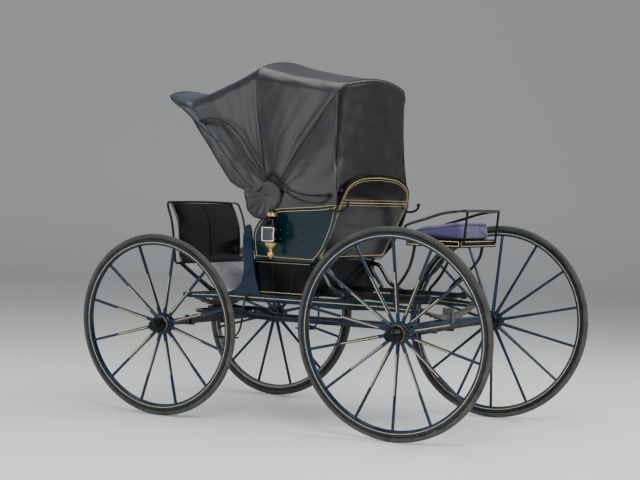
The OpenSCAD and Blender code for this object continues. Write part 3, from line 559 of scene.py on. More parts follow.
def weave_group() -> bpy.types.NodeTree:
    """Plain weave: threads |sin(u / 2)| and |sin(v / 2)| cross, the upper one chosen by sin u sin v.

    u = k (x + z) and v = k (y + 0.6 (x - z)). Height is the upper thread's, Thread masks the gaps, which the
    finish darkens as painted shade.
    """
    tree, n, gi, go = new_group("weave", [("Vector", VEC), ("Scale", VAL)], ["Height", "Thread"])
    axes = n.add("SeparateXYZ", {0: gi.outputs[0]})
    x, y, z = axes.outputs
    u = n.sum("MULTIPLY", n.sum("ADD", x, z), gi.outputs[1])
    v = n.sum("MULTIPLY", n.sum("ADD", y, n.sum("MULTIPLY", n.sum("SUBTRACT", x, z), 0.6)), gi.outputs[1])
    su, sv = n.sum("SINE", u), n.sum("SINE", v)
    over = n.sum("MULTIPLY", su, sv)
    warp = n.sum("MULTIPLY", n.sum("ABSOLUTE", n.sum("SINE", n.sum("MULTIPLY", u, 0.5))),
                 n.ramp(over, -0.2, 0.2))
    weft = n.sum("MULTIPLY", n.sum("ABSOLUTE", n.sum("SINE", n.sum("MULTIPLY", v, 0.5))),
                 n.ramp(over, 0.2, -0.2))
    tree.links.new(n.sum("ADD", warp, weft), go.inputs[0])
    tree.links.new(n.ramp(n.sum("ADD", warp, weft), 0.1, 0.6), go.inputs[1])
    return tree


def dust_group() -> bpy.types.NodeTree:
    """Road dust: Dust = noise times how far a point is below Level, over half a metre."""
    tree, n, gi, go = new_group("road_dust", [("Vector", VEC), ("Level", VAL)], ["Dust"])
    z = n.add("SeparateXYZ", {0: gi.outputs[0]}).outputs[2]
    low = n.sum("MULTIPLY", n.sum("SUBTRACT", gi.outputs[1], z), 2.0, clamp=True)
    grain = n.add("TexNoise", {"Vector": gi.outputs[0], "Scale": 11.0, "Detail": 7.0, "Roughness": 0.7})
    tree.links.new(n.sum("MULTIPLY", low, n.ramp(grain.outputs[0], 0.38, 0.68)), go.inputs[0])
    return tree


class Kind(Enum):
    """Families of surface."""

    LACQUER = 1
    IRON = 2
    LEATHER = 3
    PATENT = 4
    CLOTH = 5
    RUBBER = 6
    METAL = 7
    GLASS = 8
    WAX = 9


@dataclass(frozen=True)
class Finish:
    """One finish and how it is laid on."""

    paint: Paint
    kind: Kind
    dark: tuple[float, float, float]
    light: tuple[float, float, float]
    rough: tuple[float, float]
    scale: float = 6.0
    bump: float = 0.2
    coat: float = 0.0
    gloss: float = 0.5
    sheen: float = 0.0
    dust: float = 0.0
    dust_colour: tuple[float, float, float] = (0.16, 0.135, 0.11)

    def make(self, groups: dict[str, bpy.types.NodeTree]) -> bpy.types.Material:
        """Builds the material.

        Args:
            groups: The shared shader groups, by name.

        Returns:
            The material.
        """
        mat = bpy.data.materials.new(self.paint.value)
        mat.use_nodes = True
        n = Nodes(mat.node_tree)
        where = n.add("TexCoord").outputs["Object"]
        skin = n.add("BsdfPrincipled")
        out = n.add("OutputMaterial", {0: skin.outputs[0]})
        out.location = (400, 0)
        spots = n.add("Group", node_tree=groups["speckle"])
        mat.node_tree.links.new(where, spots.inputs[0])
        spots.inputs[1].default_value = self.scale
        cloud, fine, streak = spots.outputs
        share, height, depth = n.ramp(cloud, 0.35, 0.68), fine, 0.0004
        rough = n.ramp(cloud, 0.3, 0.7, self.rough[0], self.rough[1])
        if self.kind in (Kind.LEATHER, Kind.PATENT):
            hide = n.add("Group", node_tree=groups["hide"])
            mat.node_tree.links.new(where, hide.inputs[0])
            hide.inputs[1].default_value = 420.0
            pebble, crack, scuff = hide.outputs
            if self.kind is Kind.LEATHER:
                share = n.sum("ADD", n.sum("MULTIPLY", share, 0.45), n.sum("MULTIPLY", scuff, 0.55))
                # Painted shade: the colour drops to 0.55 of its share along the crack lines, where the bump
                # is lowest.
                share = n.sum("MULTIPLY", share, n.ramp(crack, 0.0, 1.0, 0.55, 1.0))
                height = n.sum("ADD", n.sum("MULTIPLY", pebble, 0.5), n.sum("MULTIPLY", crack, 0.5))
                rough = n.ramp(share, 0.0, 1.0, self.rough[0], self.rough[1])
            else:
                height = n.sum("ADD", n.sum("MULTIPLY", pebble, 0.25), cloud)
            depth = 0.0006
        if self.kind is Kind.CLOTH:
            weave = n.add("Group", node_tree=groups["weave"])
            mat.node_tree.links.new(where, weave.inputs[0])
            weave.inputs[1].default_value = 2400.0
            height = n.sum("ADD", weave.outputs[0], n.sum("MULTIPLY", fine, 0.4))
            # Painted shade: Thread is low in the gaps between threads, so the gaps take the darker colour.
            share = n.sum("ADD", n.sum("MULTIPLY", weave.outputs[1], 0.55), n.sum("MULTIPLY", cloud, 0.55),
                          True)
            depth = 0.0009
        if self.kind is Kind.METAL:
            share = n.ramp(streak, 0.3, 0.7)
            height = streak
        if self.kind is Kind.IRON:
            height = n.sum("ADD", n.sum("MULTIPLY", cloud, 1.0), n.sum("MULTIPLY", fine, 0.35))
            depth = 0.0012
        colour = n.mix(share, self.dark, self.light)
        if self.dust:
            dust = n.add("Group", node_tree=groups["road_dust"])
            mat.node_tree.links.new(where, dust.inputs[0])
            dust.inputs[1].default_value = 1.15
            amount = n.sum("MULTIPLY", dust.outputs[0], self.dust)
            colour = n.mix(amount, colour, self.dust_colour)
            rough = n.sum("ADD", rough, n.sum("MULTIPLY", amount, 0.5), True)
        links = mat.node_tree.links
        links.new(colour, skin.inputs["Base Color"])
        links.new(rough, skin.inputs["Roughness"])
        bump = n.add("Bump", {"Height": height, "Strength": self.bump, "Distance": depth})
        links.new(bump.outputs[0], skin.inputs["Normal"])
        skin.inputs["Specular IOR Level"].default_value = self.gloss
        skin.inputs["Coat Weight"].default_value = self.coat
        skin.inputs["Coat Roughness"].default_value = 0.06
        if self.sheen:
            skin.inputs["Sheen Weight"].default_value = self.sheen
            skin.inputs["Sheen Roughness"].default_value = 0.4
        if self.kind is Kind.METAL:
            skin.inputs["Metallic"].default_value = 1.0
        if self.kind is Kind.GLASS:
            skin.inputs["Transmission Weight"].default_value = 0.92
            skin.inputs["IOR"].default_value = 1.45
        if self.kind is Kind.WAX:
            skin.inputs["Subsurface Weight"].default_value = 0.3
            skin.inputs["Subsurface Radius"].default_value = (0.01, 0.006, 0.004)
        return mat


FINISHES = [
    Finish(Paint.TYRE, Kind.RUBBER, (0.022, 0.02, 0.019), (0.05, 0.045, 0.041), (0.6, 0.82), 9, 0.5,
           dust=0.35),
    Finish(Paint.BLUE, Kind.LACQUER, (0.0018, 0.0105, 0.024), (0.0036, 0.019, 0.042), (0.2, 0.3), 5, 0.05,
           0.2,
           gloss=0.22, dust=0.05),
    Finish(Paint.CREAM, Kind.LACQUER, (0.47, 0.36, 0.17), (0.6, 0.48, 0.26), (0.35, 0.5), 30, 0.1, 0.3),
    Finish(Paint.GOLD, Kind.LACQUER, (0.42, 0.3, 0.1), (0.58, 0.44, 0.18), (0.3, 0.45), 30, 0.1, 0.3),
    Finish(Paint.BLACK, Kind.LACQUER, (0.0012, 0.0016, 0.0024), (0.003, 0.004, 0.0055), (0.16, 0.26), 4,
           0.04, 0.05,
           gloss=0.15, dust=0.02),
    Finish(Paint.TEAL, Kind.LACQUER, (0.002, 0.012, 0.019), (0.004, 0.019, 0.028), (0.12, 0.2), 4, 0.04, 0.2,
           gloss=0.22),
    Finish(Paint.IRON, Kind.IRON, (0.0025, 0.0028, 0.0035), (0.009, 0.0095, 0.011), (0.22, 0.38), 26, 0.3,
           0.1,
           gloss=0.24, dust=0.06),
    Finish(Paint.STEEL, Kind.IRON, (0.03, 0.029, 0.027), (0.08, 0.075, 0.068), (0.4, 0.62), 18, 0.4,
           dust=0.2),
    Finish(Paint.HOOD, Kind.LEATHER, (0.0065, 0.0068, 0.0085), (0.028, 0.0285, 0.032), (0.34, 0.52), 3, 0.45),
    Finish(Paint.CURTAIN, Kind.LEATHER, (0.0028, 0.003, 0.0034), (0.0095, 0.0096, 0.0105), (0.34, 0.48), 3,
           0.4,
           gloss=0.32),
    Finish(Paint.LINING, Kind.CLOTH, (0.022, 0.024, 0.034), (0.05, 0.052, 0.068), (0.8, 0.95), 8, 0.5,
           sheen=0.3),
    Finish(Paint.PATENT, Kind.PATENT, (0.0015, 0.0016, 0.002), (0.0045, 0.0047, 0.0055), (0.12, 0.22), 9,
           0.25, 0.15,
           gloss=0.25),
    Finish(Paint.PEAK, Kind.PATENT, (0.008, 0.014, 0.022), (0.02, 0.03, 0.043), (0.24, 0.36), 7, 0.3, 0.1,
           gloss=0.3),
    Finish(Paint.CLOTH, Kind.CLOTH, (0.022, 0.018, 0.06), (0.06, 0.052, 0.145), (0.75, 0.92), 10, 0.6,
           sheen=0.3),
    Finish(Paint.PIPING, Kind.CLOTH, (0.014, 0.012, 0.036), (0.034, 0.03, 0.085), (0.7, 0.85), 14, 0.5,
           sheen=0.2),
    Finish(Paint.MAT, Kind.RUBBER, (0.36, 0.365, 0.39), (0.5, 0.505, 0.53), (0.6, 0.8), 12, 0.4),
    Finish(Paint.BRASS, Kind.METAL, (0.5, 0.33, 0.12), (0.72, 0.52, 0.22), (0.18, 0.36), 22, 0.1),
    Finish(Paint.SILVER, Kind.METAL, (0.55, 0.54, 0.5), (0.8, 0.79, 0.76), (0.14, 0.3), 22, 0.1),
    Finish(Paint.GLASS, Kind.GLASS, (0.42, 0.45, 0.47), (0.52, 0.55, 0.57), (0.0, 0.01), 12, 0.0),
    Finish(Paint.WAX, Kind.WAX, (0.62, 0.57, 0.45), (0.74, 0.7, 0.58), (0.4, 0.55), 30, 0.2),
]
MATERIALS: dict[Paint, bpy.types.Material] = {}


def make_finishes() -> None:
    """Builds the shared groups and then every finish."""
    groups = {"speckle": speckle_group(), "hide": hide_group(), "weave": weave_group(),
              "road_dust": dust_group()}
    for finish in FINISHES:
        MATERIALS[finish.paint] = finish.make(groups)


# ----------------------------------------------------------------------------- wheels


@dataclass
class Wheel:
    """One wooden wheel with its rubber tyre, iron hub bands and striping."""

    corner: str
    body: str
    x: float
    radius: float
    track: float
    side: int
    spokes: int
    dish: float

    @property
    def place(self) -> Matrix:
        """Puts the wheel's own plane in the frame: local Z is outboard."""
        turn = Matrix.Rotation(-self.side * (math.pi / 2 + C.camber), 4, "X")
        return Matrix.Translation((self.x, self.side * self.track / 2, C.hub_z(self.radius))) @ turn

    @property
    def felloe_r(self) -> float:
        """Inner radius of the wooden rim."""
        return self.radius - C.tyre_h - C.channel_t - C.felloe_h

    def build_tyre(self) -> bpy.types.Object:
        """Rubber ring: straight flanks low in the channel, then a round tread with two fine ribs.

        Returns:
            The tyre.
        """
        s = Shape()
        r0, h, w = self.radius - C.tyre_h, C.tyre_h - C.tyre_w / 2, C.tyre_w / 2
        a = np.linspace(-np.pi / 2, np.pi / 2, 23)
        rib = 0.0005 * (np.abs(np.abs(np.sin(a)) - 0.78) < 0.08)
        tread = np.stack([r0 + h + (w - 0.0006 + rib) * np.cos(a), (w - 0.0006 + rib) * np.sin(a)], 1)
        low = [[r0 + 0.0002, -w + 0.003], [r0 + 0.004, -w + 0.0012], [r0 + h * 0.8, -w + 0.0006]]
        loop = np.vstack([low, tread, [[p[0], -p[1]] for p in low[::-1]]])
        self.ring(s, loop, Paint.TYRE, 180)
        return s.build(f"tyre_{self.corner}_rubber", 40)

    def ring(self, s: Shape, loop: Array, paint: Paint, sides: int) -> None:
        """Turns a closed (radius, height) loop about the hub's axis."""
        a = np.linspace(0, 2 * np.pi, sides, endpoint=False)
        q = np.asarray(loop, float)
        p = np.stack([q[:, :1] * np.cos(a), q[:, :1] * np.sin(a), np.repeat(q[:, 1:], sides, 1)], -1)
        s.grid(transform(p, self.place), paint, wrap_u=True, wrap_v=True)

    def build_wood(self) -> bpy.types.Object:
        """Felloes, channel, tapered spokes, nave and all their lining.

        A spoke's middle runs p(s) = s d + (1 - s)(0, 0, -dish), its radius swells at both ends, and its
        line lies on the outboard side at the spoke's own radius.

        Returns:
            The wheel.
        """
        s = Shape()
        ro, fw, ft = self.felloe_r, C.felloe_w / 2, C.felloe_h
        soft = 0.006
        bead = [[ro + 0.0015, -fw + soft], [ro, -fw + soft + 0.002], [ro, fw - soft - 0.002],
                [ro + 0.0015, fw - soft],
                [ro + soft * 0.6, fw - 0.0012], [ro + soft + 0.001, fw], [ro + ft, fw], [ro + ft, -fw],
                [ro + soft + 0.001, -fw], [ro + soft * 0.6, -fw + 0.0012]]
        self.ring(s, np.array(bead), Paint.BLUE, 168)
        lip = fw + 0.001
        self.ring(s, np.array([[ro + ft, -lip], [ro + ft, lip], [ro + ft + 0.0045, lip],
                               [ro + ft + 0.006, lip - 0.0012],
                               [ro + ft + 0.006, -lip + 0.0012], [ro + ft + 0.0045, -lip]]), Paint.IRON, 168)
        self.spoke_set(s)
        self.nave(s)
        self.lining(s)
        return s.build(f"wheel_{self.corner}_wood", 38)

    def spoke_set(self, s: Shape) -> None:
        """Every spoke, its shoulder at the nave and its line."""
        ro = self.felloe_r
        t = np.linspace(0, 1, 15)
        r = 0.0125 + (0.0095 - 0.0125) * t
        r = r * (1 - 0.13 * np.sin(np.pi * np.clip((t - 0.12) / 0.8, 0, 1)))
        rise = math.atan2(self.dish, ro - C.nave_t)
        for k in range(self.spokes):
            a = 2 * math.pi * (k + 0.5) / self.spokes
            d = np.array([math.cos(a), math.sin(a), 0.0])
            start = 0.030 * d + np.array([0, 0, -self.dish + 0.001])
            end = (ro + 0.004) * d + np.array([0, 0, -0.0005])
            path = start + (end - start) * t[:, None]
            across = np.cross([0, 0, 1.0], d)
            out = np.array([0, 0, 1.0]) * math.cos(rise) - d * math.sin(rise)
            c = np.linspace(0, 2 * np.pi, 14, endpoint=False)
            lobe = 1 / (np.abs(np.cos(c)) ** 2.4 + np.abs(np.sin(c)) ** 2.4) ** (1 / 2.4)
            ring = path[:, None] + (r[:, None] * lobe * np.cos(c))[..., None] * across * 0.86 \
                + (r[:, None] * lobe * np.sin(c))[..., None] * out * 0.98
            s.grid(self.capped(ring), Paint.BLUE, wrap_v=True)
            u = np.linspace(0.17, 0.62, 8)[:, None]
            line = start + (end - start) * u + out * np.interp(u[:, 0], t, r)[:, None] * 0.985
            self.stripe(s, line, out, 0.0042)

    def capped(self, ring: Array) -> Array:
        """Closes both ends of a tube of rings, and moves it into the frame."""
        full = np.concatenate([ring[:1] * 0 + ring[:1].mean(1, keepdims=True), ring,
                               ring[-1:] * 0 + ring[-1:].mean(1, keepdims=True)])
        return transform(full, self.place)

    def stripe(self, s: Shape, line: Array, out: Array, width: float) -> None:
        """A painted line along a spoke."""
        p = transform(line, self.place)
        n = np.array(self.place.to_3x3()) @ out
        s.strip(p, n, width, Paint.CREAM, 0.0006)

    def nave(self, s: Shape) -> None:
        """Wooden nave with an iron flange on each face and a ring of bolts."""
        z, r = -self.dish, C.hub_flange_r
        bore = C.spindle_r + 0.00005
        self.ring(s, np.array([[bore, z - 0.0199], [bore, z + 0.0199], [r - 0.002, z + 0.0199],
                               [r, z + 0.018],
                               [r, z + 0.0125], [r - 0.004, z + 0.0115], [r - 0.004, z - 0.0115],
                               [r, z - 0.0125],
                               [r, z - 0.018], [r - 0.002, z - 0.0199]]), Paint.BLUE, 64)
        for k in range(self.spokes):
            a = 2 * math.pi * k / self.spokes
            c = np.array([math.cos(a), math.sin(a)]) * (r - 0.0065)
            for zz in (z + 0.0198, z - 0.0198):
                up = 1 if zz > z else -1
                turn = Matrix.Rotation(0 if up > 0 else math.pi, 4, "X")
                place = self.place @ Matrix.Translation((c[0], c[1], zz)) @ turn
                s.lathe([[0.0, -0.001], [0.0042, -0.001], [0.0042, 0.0012], [0.0026, 0.0028], [0.0, 0.0032]],
                        Paint.IRON, place, 8)

    def lining(self, s: Shape) -> None:
        """Circles on the felloe's faces, the felloe joints and their bolts."""
        ro, fw = self.felloe_r, C.felloe_w / 2
        r, half, e = ro + 0.0165, 0.0032 / 2, 0.0005
        for z in (fw, -fw):
            self.ring(s, np.array([[r - half, z - e], [r - half, z + e], [r + half, z + e],
                                   [r + half, z - e]]),
                      Paint.CREAM, 168)
        joints = self.spokes // 2
        for k in range(joints):
            a = 2 * math.pi * k / joints
            d = np.array([math.cos(a), math.sin(a), 0.0])
            for z, up in ((fw, 1), (-fw, -1)):
                line = np.array([d * (ro + q) + np.array([0, 0, z]) for q in (0.004, 0.018, 0.0315)])
                s.strip(transform(line, self.place),
                        np.array(self.place.to_3x3()) @ np.array([0, 0, up * 1.0]),
                        0.0012, Paint.IRON, 0.0003)
            for da in (-0.034, 0.034):
                for z, up in ((fw, 1), (-fw, -1)):
                    c = np.array([math.cos(a + da), math.sin(a + da)]) * (ro + 0.0255)
                    turn = Matrix.Rotation(0 if up > 0 else math.pi, 4, "X")
                    place = self.place @ Matrix.Translation((c[0], c[1], z)) @ turn
                    s.lathe([[0.0, -0.001], [0.0048, -0.001], [0.0046, 0.001], [0.003, 0.0024], [0.0, 0.003]],
                            Paint.IRON, place, 10)

    def build_hub(self) -> bpy.types.Object:
        """Outer collar and cap round the spindle's end, and the inner barrel.

        Returns:
            The hub.
        """
        s = Shape()
        f = -self.dish + C.nave_t
        bore, rc, rk, top = C.spindle_r + 0.00005, C.hub_collar_r, C.hub_cap_r, C.hub_cap_out
        z_in = f + 0.0405
        neck = top - 0.050
        cap = [[0, z_in], [bore, z_in], [bore, f + 0.0001], [rc - 0.001, f + 0.0001], [rc, f + 0.002],
               [rc - 0.0008, f + 0.018],
               [rc - 0.004, f + 0.022], [rk + 0.0085, f + 0.0232], [rk + 0.0045, neck - 0.001],
               [rk + 0.003, neck],
               [rk + 0.0005, neck + 0.0015], [rk - 0.0005, neck + 0.006], [rk - 0.0012, neck + 0.012],
               [rk, neck + 0.014],
               [rk, neck + 0.017], [rk - 0.0016, neck + 0.019], [rk - 0.002, top - 0.012],
               [rk - 0.0005, top - 0.009],
               [rk - 0.0005, top - 0.006], [rk - 0.003, top - 0.0035], [rk - 0.009, top - 0.0012],
               [rk - 0.012, top - 0.0022],
               [0.008, top - 0.0022], [0.0065, top - 0.0006], [0, top - 0.0002]]
        s.lathe(cap, Paint.BLACK, self.place, 64)
        r, z, e, half = rc - 0.0003, f + 0.0095, 0.0005, 0.0022
        self.ring(s, np.array([[r - e, z - half], [r + e, z - half], [r + e, z + half], [r - e, z + half]]),
                  Paint.CREAM, 64)
        b = -self.dish - C.nave_t
        z0 = b - C.hub_in + C.nave_t
        self.ring(s, np.array([[bore, b - 0.0001], [bore, z0], [rc - 0.008, z0], [rc - 0.007, z0 + 0.001],
                               [rc - 0.001, z0 + 0.013],
                               [rc, z0 + 0.016], [rc, z0 + 0.024], [rc - 0.002, z0 + 0.026],
                               [rc - 0.002, b - 0.006],
                               [rc, b - 0.004], [rc - 0.001, b - 0.0001]]), Paint.BLACK, 64)
        return s.build(f"hub_{self.corner}_bands", 32)

    def dress(self) -> None:
        """Builds the wheel's three pieces and hangs them on its body."""
        for obj, node, slot in ((self.build_tyre(), "tyre", "rubber_tyre"),
                                (self.build_wood(), "wheel", "blue_wood"),
                                (self.build_hub(), "hub", "hub_metal")):
            keep(obj, self.body, slot, f"{node}_{self.corner}")


def keep(obj: bpy.types.Object, body: str, slot: str, *nodes: str) -> bpy.types.Object:
    """Hangs a piece on a body and hides the nodes that it stands for."""
    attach(obj, body)
    if nodes:
        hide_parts(*nodes)
    LOG.info("%s: %d faces on %s", obj.name, len(obj.data.polygons), body)
    return obj


# ----------------------------------------------------------------------------- hood


@dataclass(frozen=True)
class Bow:
    """A hood bow: its lean, half widths at foot and top, and height, with its body's name."""

    lean: float
    foot: float
    top: float
    height: float
    body: str

    def line(self, c: float) -> Array:
        """The bow's outline c outside its middle, feet to feet, as 31 points.

        Straight legs lean in from foot to top; corners of radius 0.095 meet a crown of radius 1.3, both
        grown by c.

        Args:
            c: Distance outside the middle line.

        Returns:
            Points in the frame.
        """
        crown, corner = 1.3, 0.095
        phi = math.asin((self.top - corner) / (crown - corner))
        sh = self.height - crown + (crown - corner) * math.cos(phi)
        k = np.arange(3) / 3
        legs = np.stack([self.foot + (self.top - self.foot) * k + c, 0.33 + (sh - 0.33) * k], 1)
        t = math.pi / 2 - (math.pi / 2 - phi) * np.arange(6) / 5
        turn = np.stack([self.top - corner + (corner + c) * np.sin(t), sh + (corner + c) * np.cos(t)], 1)
        t = phi * (1 - np.arange(1, 7) / 6)
        crest = np.stack([(crown + c) * np.sin(t), self.height - crown + (crown + c) * np.cos(t)], 1)
        half = np.vstack([[[self.foot + c, 0.07]], legs, turn, crest])
        full = np.vstack([half, (half * [-1, 1])[-2::-1]])
        return np.stack([C.px + full[:, 1] * math.cos(self.lean), full[:, 0],
                         C.pivot_z + full[:, 1] * math.sin(self.lean)], 1)


REAR = Bow(math.radians(123.5), 0.440, 0.412, 0.826, "rear_bow")
MIDDLE = Bow(math.radians(80.0), 0.448, 0.420, 0.800, "middle_bow")
FRONT = Bow(math.radians(42.5), 0.456, 0.428, 0.858, "front_bow")


def body_line(c: float) -> Array:
    """Where the hood's back is nailed inside the body's top, with as many points as a bow has."""
    y, x0, x1, z = 0.458 + c, C.px - 0.070, C.xr + 0.522, C.pivot_z + 0.032
    k = np.arange(4)[:, None]
    side = np.hstack([x0 + (x1 - x0) * k / 4, y + 0 * k, z - 0.010 * (4 - k)])
    q = np.array([[0, 0, 0], [4, 5, 2], [6, 16, 6], [8, 34, 12], [8, 58, 18], [9, 84, 24]]) * MM
    turn = np.stack([x1 - q[:, 0] - c, y - q[:, 1], z + q[:, 2]], 1)
    k = np.arange(1, 7)
    back = np.stack([0 * k + x1 - 0.009 - c, (y - 0.084) * (1 - k / 6),
                     z + 0.024 + 0.012 * np.sin(np.radians(15 * k))], 1)
    half = np.vstack([side, turn, back])
    return np.vstack([half, (half * [1, -1, 1])[-2::-1]])


@dataclass
class Crease:
    """A fold in the leather, drawn in side view from the pivots and pressed in or pulled out."""

    path: Sequence[Sequence[float]]
    depth: float
    width: float


@dataclass
class Hood:
    """The folding hood: three leather sections between the body and the bows, and the stiff peak."""

    rows: int = 30
    steps: int = 6
    thick: float = 0.0021
    lift: float = 0.0135

    def grid(self, low: Array, high: Array, sag: float, creases: Iterable[Crease], wave: float, seed: float
             ) -> tuple[Array, Array]:
        """A section's outer surface and its outward normals.

        P(u, v) = (1 - u) low(v) + u high(v), drawn in by sag 4u(1 - u), pressed by each crease as
        depth exp(-(d / width)^2), and rippled by slow sines that die out at the bows.

        Args:
            low: Coarse line of the section's first edge.
            high: Coarse line of its last edge.
            sag: How far the leather draws in halfway.
            creases: Folds to press in.
            wave: Height of the ripples.
            seed: Shifts the ripples.

        Returns:
            Points and normals, both (rows, columns, 3).
        """
        a, b = smooth_path(low, self.steps), smooth_path(high, self.steps)
        u = np.linspace(0, 1, self.rows)[:, None, None]
        p = (1 - u) * a + u * b
        n = np.cross(np.gradient(p, axis=1), np.gradient(p, axis=0))
        n /= np.linalg.norm(n, axis=2, keepdims=True) + 1e-12
        if np.mean(np.sum(n * (p - np.array([C.px, 0, C.pivot_z])), 2)) < 0:
            n = -n
        env = (4 * u * (1 - u))[..., 0]
        v = np.linspace(0, 1, p.shape[1])[None, :]
        uu = u[..., 0]
        move = -sag * env
        side = np.clip((np.abs(p[..., 1]) - 0.30) / 0.1, 0, 1)
        for c in creases:
            line = spread(smooth_path(rear(c.path), 6), 60)
            d = np.min(np.hypot(p[..., None, 0] - line[:, 0], p[..., None, 2] - line[:, 1]), 2)
            move = move - c.depth * np.exp(-(d / c.width) ** 2) * side
        ripple = np.sin(23 * v + 5 * uu + seed) * np.sin(9 * uu + 17 * v + 2 * seed) \
            + 0.5 * np.sin(61 * v - 14 * uu + seed) + 0.35 * np.sin(37 * uu + 90 * v * (1 - v) + seed)
        move = move + wave * ripple * env**0.6
        return p + n * move[..., None], n

    def section(self, name: str, low: Array, high: Array, bodies: tuple[str, str], node: str, sag: float,
                creases: Iterable[Crease], wave: float, seed: float,
                curtain: bool = False) -> bpy.types.Object:
        """Builds one leather section as a thin closed skin with its lining.

        A point follows the first body at its first edge and the second at its last, and turns by its own
        share of the angle between, so the leather folds like a fan.

        Args:
            name: The piece's name.
            low: Its first edge.
            high: Its last edge.
            bodies: The bodies at its two edges.
            node: The solid that it stands for.
            sag: How far it draws in halfway.
            creases: Its folds.
            wave: Its ripples' height.
            seed: Shifts the ripples.
            curtain: Gives its back the darker leather and a bound edge.

        Returns:
            The piece.
        """
        s = Shape()
        p, n = self.grid(low, high, sag, creases, wave, seed)
        inner = p - n * self.thick
        share = np.repeat(np.linspace(0, 1, self.rows)[:, None], p.shape[1], 1)
        if curtain:
            cut = self.steps * 5 + 2
            last = p.shape[1] - cut
            for i, j, paint in ((0, cut + 1, Paint.HOOD), (cut, last, Paint.CURTAIN),
                                (last - 1, p.shape[1], Paint.HOOD)):
                s.grid(p[:, i:j], paint, value=share[:, i:j])
        else:
            s.grid(p, Paint.HOOD, value=share)
        s.grid(inner, Paint.LINING, flip=True, value=share)
        s.edges(p, inner, Paint.HOOD, share)
        if curtain:
            self.curtain_edge(s, p, n)
        self.side_binding(s, p, n)
        obj = s.build(name, 60)
        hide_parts(node)
        mid = p.reshape(self.rows, -1, 3)
        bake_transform(obj, bodies[0], bodies[1], start=tuple(mid[0].mean(0)), end=tuple(mid[-1].mean(0)))
        self.fan(obj)
        return obj

    def fan(self, obj: bpy.types.Object) -> None:
        """Writes each point's own share of the fold over the blend's straight one."""
        mesh = obj.data
        share = np.zeros(len(mesh.vertices), np.float32)
        mesh.attributes["share"].data.foreach_get("value", share)
        mesh.attributes["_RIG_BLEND"].data.foreach_set("value", share)
        mesh.attributes.remove(mesh.attributes["share"])

    def curtain_edge(self, s: Shape, p: Array, n: Array) -> None:
        """A welt round the back curtain: up one side, round the top corners and down the other."""
        cols, m = p.shape[1], p.shape[0]
        a = self.steps * 5 + 2
        t = np.linspace(0, 1, 10)
        left = np.stack([np.linspace(0.03, 0.86, 24), np.full(24, a + 1.0)], 1)
        turn = np.stack([0.86 + 0.10 * np.sin(t * np.pi / 2), a + 1 + 9 * (1 - np.cos(t * np.pi / 2))], 1)
        top = np.stack([np.full(40, 0.96), np.linspace(a + 10.5, cols - 1 - a - 10.5, 40)], 1)
        half = np.vstack([left, turn[1:]])
        other = half[::-1] * [1, -1] + [0, cols - 1]
        uv = np.vstack([half, top, other])
        points, normals = lookup(p, uv, m), lookup(n, uv, m)
        s.tube(points + normals * 0.0012, 0.0035, Paint.PATENT, hint=(1, 0.3, 0.2), sides=8, value=uv[:, 0])

    def side_binding(self, s: Shape, p: Array, n: Array) -> None:
        """Bound lower edges at the feet of the section."""
        for j in (0, p.shape[1] - 1):
            s.tube(p[:, j] - n[:, j] * 0.001, 0.0026, Paint.PATENT, hint=(0, 1, 0), sides=8,
                   value=np.linspace(0, 1, p.shape[0]))

    def ridge(self, bow: Bow) -> None:
        """The leather's rounded ridge where it passes over a bow."""
        s = Shape()
        radius = 0.0125
        line = smooth_path(bow.line(self.lift - radius + 0.0006), self.steps)[1:-1]
        k = np.linspace(0, 1, len(line))
        fade = np.clip(np.minimum(k, 1 - k) / 0.2, 0.35, 1)
        s.tube(line, radius * fade, Paint.HOOD, hint=(1, 0, 0.3), sides=20)
        keep(s.build(f"hood_ridge_{bow.body}", 60), bow.body, "hood_leather")

    def border(self, side: int) -> None:
        """The leather that stands forward of the front bow's leg, wider towards its foot.

        At distance d from the pivots its edge lies w(d) ahead of the bow and its sewn line v(d) ahead.

        Args:
            side: 1 for left, -1 for right.
        """
        s = Shape()
        line = smooth_path(FRONT.line(self.lift - 0.001), self.steps)
        forward = np.array([math.sin(FRONT.lean), 0, -math.cos(FRONT.lean)])
        part = spread(line[:int(len(line) * 0.29)], 60) * [1, side, 1]
        d = np.linalg.norm(part - [C.px, 0, C.pivot_z] - part * [0, 1, 0], axis=1)
        width = np.interp(d, [0.07, 0.14, 0.19, 0.24, 0.34, 0.49, 0.65, 0.76, 0.86],
                          [0.050, 0.085, 0.106, 0.116, 0.102, 0.080, 0.060, 0.040, 0.004])
        seam = np.interp(d, [0.07, 0.16, 0.27, 0.49, 0.65, 0.8], [0.032, 0.046, 0.041, 0.022, 0.012, 0.003])
        u = np.linspace(0, 1, 12)[:, None, None]
        p = part[None] + u * width[None, :, None] * forward
        p[..., 1] += side * (0.0045 * np.sin(np.pi * u[..., 0]) + 0.0012 * np.sin(38 * d + 4 * u[..., 0]))
        q = p - np.array([0, side * 0.0022, 0])
        s.grid(p, Paint.HOOD)
        s.grid(q, Paint.LINING, flip=True)
        s.edges(p, q, Paint.HOOD)
        s.tube(p[-1], 0.0036, Paint.PATENT, hint=(0, 1, 0), sides=10)
        sewn = part + seam[:, None] * forward
        sewn[:, 1] += side * (0.0045 * np.sin(np.pi * seam / width) + 0.0016)
        s.tube(sewn[3:], 0.0021, Paint.PATENT, hint=(0, 1, 0), sides=8)
        word = "left" if side > 0 else "right"
        obj = keep(s.build(f"hood_border_{word}", 60), "front_bow", "hood_leather")

